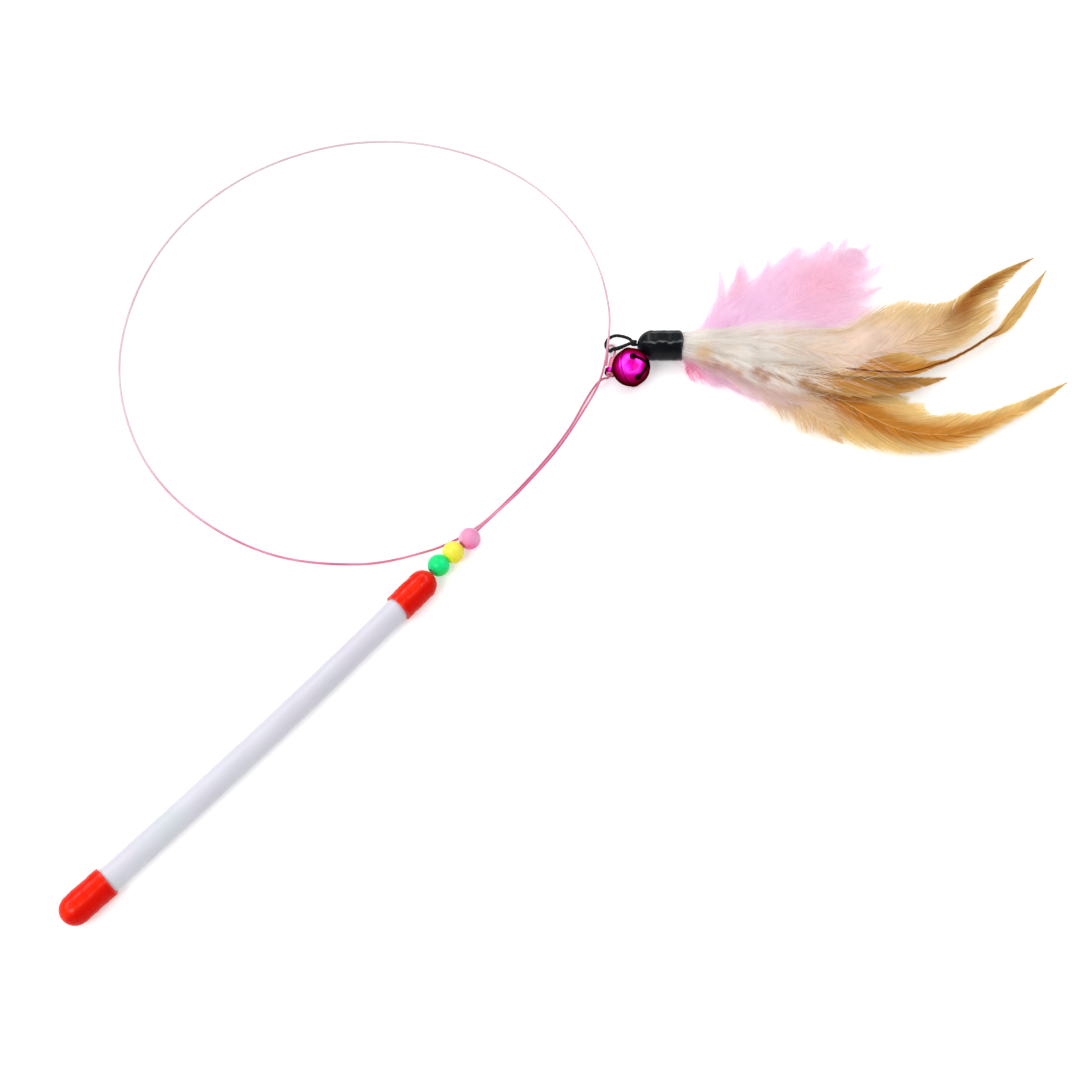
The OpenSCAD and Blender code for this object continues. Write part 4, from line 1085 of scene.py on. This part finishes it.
hot = feather_material(
    "plume_hot_pink", [(0.0, "ff38a8"), (0.15, "ff4cb4"), (0.24, "fad6ec"), (1.0, "fae4f0")],
    "fae2f1", 0.6, "fcbae2", 0.08, 0.2, lit=0.45, glow=0.03)

vane_feather("ginger_feather_1", 11, broad, "feather_ginger", camber=0.12, fray=0.1)
vane_feather("ginger_feather_2", 12, curved, "feather_ginger", slant=17, shaft_r=(0.42, 0.2), rise=(2.6, 0.25, 0.75))
vane_feather("ginger_feather_3", 13, long, "feather_ginger", camber=0.06, fray=0.1)
vane_feather("ginger_feather_4", 14, short, "feather_ginger", slant=18)
vane_feather("ginger_feather_5", 15, fringe, "feather_cream", slant=32, fray=0.32, width=0.3, spacing=0.24,
             loose=0.8, ragged=0.12, cling=0.5, bare=17.0)
for name, seed, mat, barbs, slant, loft, curl, strays, tuft, fade in (
        ("white_feather_1", 21, white, 760, 19, 1.1, 0.9, 40, 340, 0.42),
        ("white_feather_2", 22, white, 760, 19, 0.9, 0.9, 40, 280, 0.42),
        ("white_feather_3", 23, cream, 620, 23, 0.7, 1.1, 70, 120, 0.7)):
    down_feather(name, seed, mat, "down_white", barbs, barb_width=0.15, hairs=14, hair_len=1.9, slant=slant,
                 loft=loft, curl=curl, strays=strays, tuft=tuft, fade=fade)
down_feather(
    "pink_plume_1", 31, pink, "plume_pink", barbs=900, barb_width=0.13, hairs=26, hair_len=2.8, slant=38, loft=1.4,
    curl=2.2, strays=130, stray_len=1.35, ragged=0.24, turn_out=14, tuft=24, shaft_r=(0.16, 0.05), bare=0.0, spikes=[
        ((240, 110, 320, 190, 380, 245, 425, 290, 450, 340), 170, 4.5, 0.3),
        ((300, 140, 400, 215, 460, 265, 495, 300, 515, 340), 170, 4.5, 0.3),
        ((400, 120, 500, 220, 545, 280, 570, 320), 80, 5.0, 0.5),
        ((420, 140, 520, 210, 580, 260, 605, 300), 60, 5.0, 0.6),
        ((380, 80, 480, 130, 560, 165, 600, 190), 140, 5.0, 0.3),
        ((360, 60, 460, 95, 540, 120, 585, 140), 220, 5.5, 0.2),
        ((360, 220, 400, 280, 430, 320, 440, 352), 50, 2.0, 0.4),
        ((320, 180, 340, 230, 352, 270, 356, 300), 26, 1.6, 0.7),
        ((470, 260, 500, 310, 515, 340, 520, 365), 34, 2.0, 0.6),
        ((520, 280, 545, 320, 560, 350, 570, 370), 26, 1.8, 0.7),
        ((550, 260, 590, 300, 620, 335, 635, 360), 22, 1.6, 0.7),
        ((540, 200, 600, 230, 640, 265, 660, 290), 18, 1.8, 0.7),
        ((520, 150, 580, 170, 625, 195, 650, 210), 20, 2.0, 0.7)])
down_feather(
    "pink_plume_2", 32, pink, "plume_pink", barbs=240, barb_width=0.13, hairs=22, hair_len=2.2, slant=26, loft=0.6,
    curl=2.0, strays=50, stray_len=1.6, ragged=0.25, turn_out=10, shaft_r=(0.14, 0.05), bare=5.0, spikes=[
        ((185, 50, 212, 110, 224, 190, 228, 290), 70, 2.4, 0.8),
        ((220, 60, 262, 140, 282, 230, 286, 320), 110, 3.4, 0.75),
        ((200, 50, 270, 120, 320, 175, 345, 225), 90, 4.0, 0.5)])
down_feather(
    "pink_plume_3", 33, hot, "plume_hot_pink", barbs=240, barb_width=0.13, hairs=18, hair_len=1.9, slant=30, loft=0.4,
    curl=1.5, strays=40, stray_len=1.5, ragged=0.25, turn_out=8, tuft=40, shaft_r=(0.16, 0.05), spikes=[
        ((130, -20, 155, -50, 180, -85, 200, -108), 70, 3.0, 0.8),
        ((200, -60, 250, -100, 300, -125, 330, -150), 60, 3.0, 0.8)])


# ---- floor and world
def seen(n):
    """One for what the camera sees, in a mirror and through a clear piece too."""
    rays = n.add("LightPath").outputs
    plain = n.math("MAXIMUM", rays["Is Camera Ray"], rays["Is Glossy Ray"])
    return n.math("MAXIMUM", plain, rays["Is Transmission Ray"])


n = material("floor_white", "BsdfDiffuse")
n.set(Color=0.9)
middle_out = n.math("MULTIPLY", n.vector("LENGTH", n.coords(), (0, 0, 0)), 0.33)
level = n.ramp(middle_out, (0.2, 0.34), (0.45, 0.66))
glow = n.add("Emission", {"Color": 1, "Strength": n.math("MULTIPLY", seen(n), level)})
n.finish(n.add("AddShader", {0: n.shader.outputs[0], 1: glow.outputs[0]}))
corners = [(x * 3, y * 3, FLOOR * MM) for x, y in ((-1, -1), (1, -1), (1, 1), (-1, 1))]
floor = mesh_object("floor", corners, [(0, 1, 2, 3)], n.owner)

bpy.context.scene.world = bpy.data.worlds.new("world")
n = Nodes(bpy.context.scene.world, "Background")
n.set(Color=1, Strength=n.add("MapRange", {"Value": seen(n), "To Min": 0.42, "To Max": 1.0}).outputs[0])


# ---- lamps
def softbox(name, azimuth, elevation, distance, size, power):
    """A square lamp that faces the object from a heading in the row frame."""
    data = bpy.data.lights.new(name, "AREA")
    data.shape = "RECTANGLE"
    data.size = data.size_y = size
    data.energy = power
    way = heading(azimuth, elevation)
    ob = added(name, data)
    ob.location = AIM + way * distance
    ob.rotation_euler = (-way).to_track_quat("-Z", "Y").to_euler()


softbox("key", HEADING + 140, 52, 1.3, 0.5, 6)
for name, way, elevation, power in (("right", -60, 45, 5), ("back", 20, 50, 4), ("left", 80, 40, 4)):
    softbox("fill_" + name, HEADING + way, elevation, 1.4, 0.9, power)

bpy.context.scene.view_settings.view_transform = "Standard"
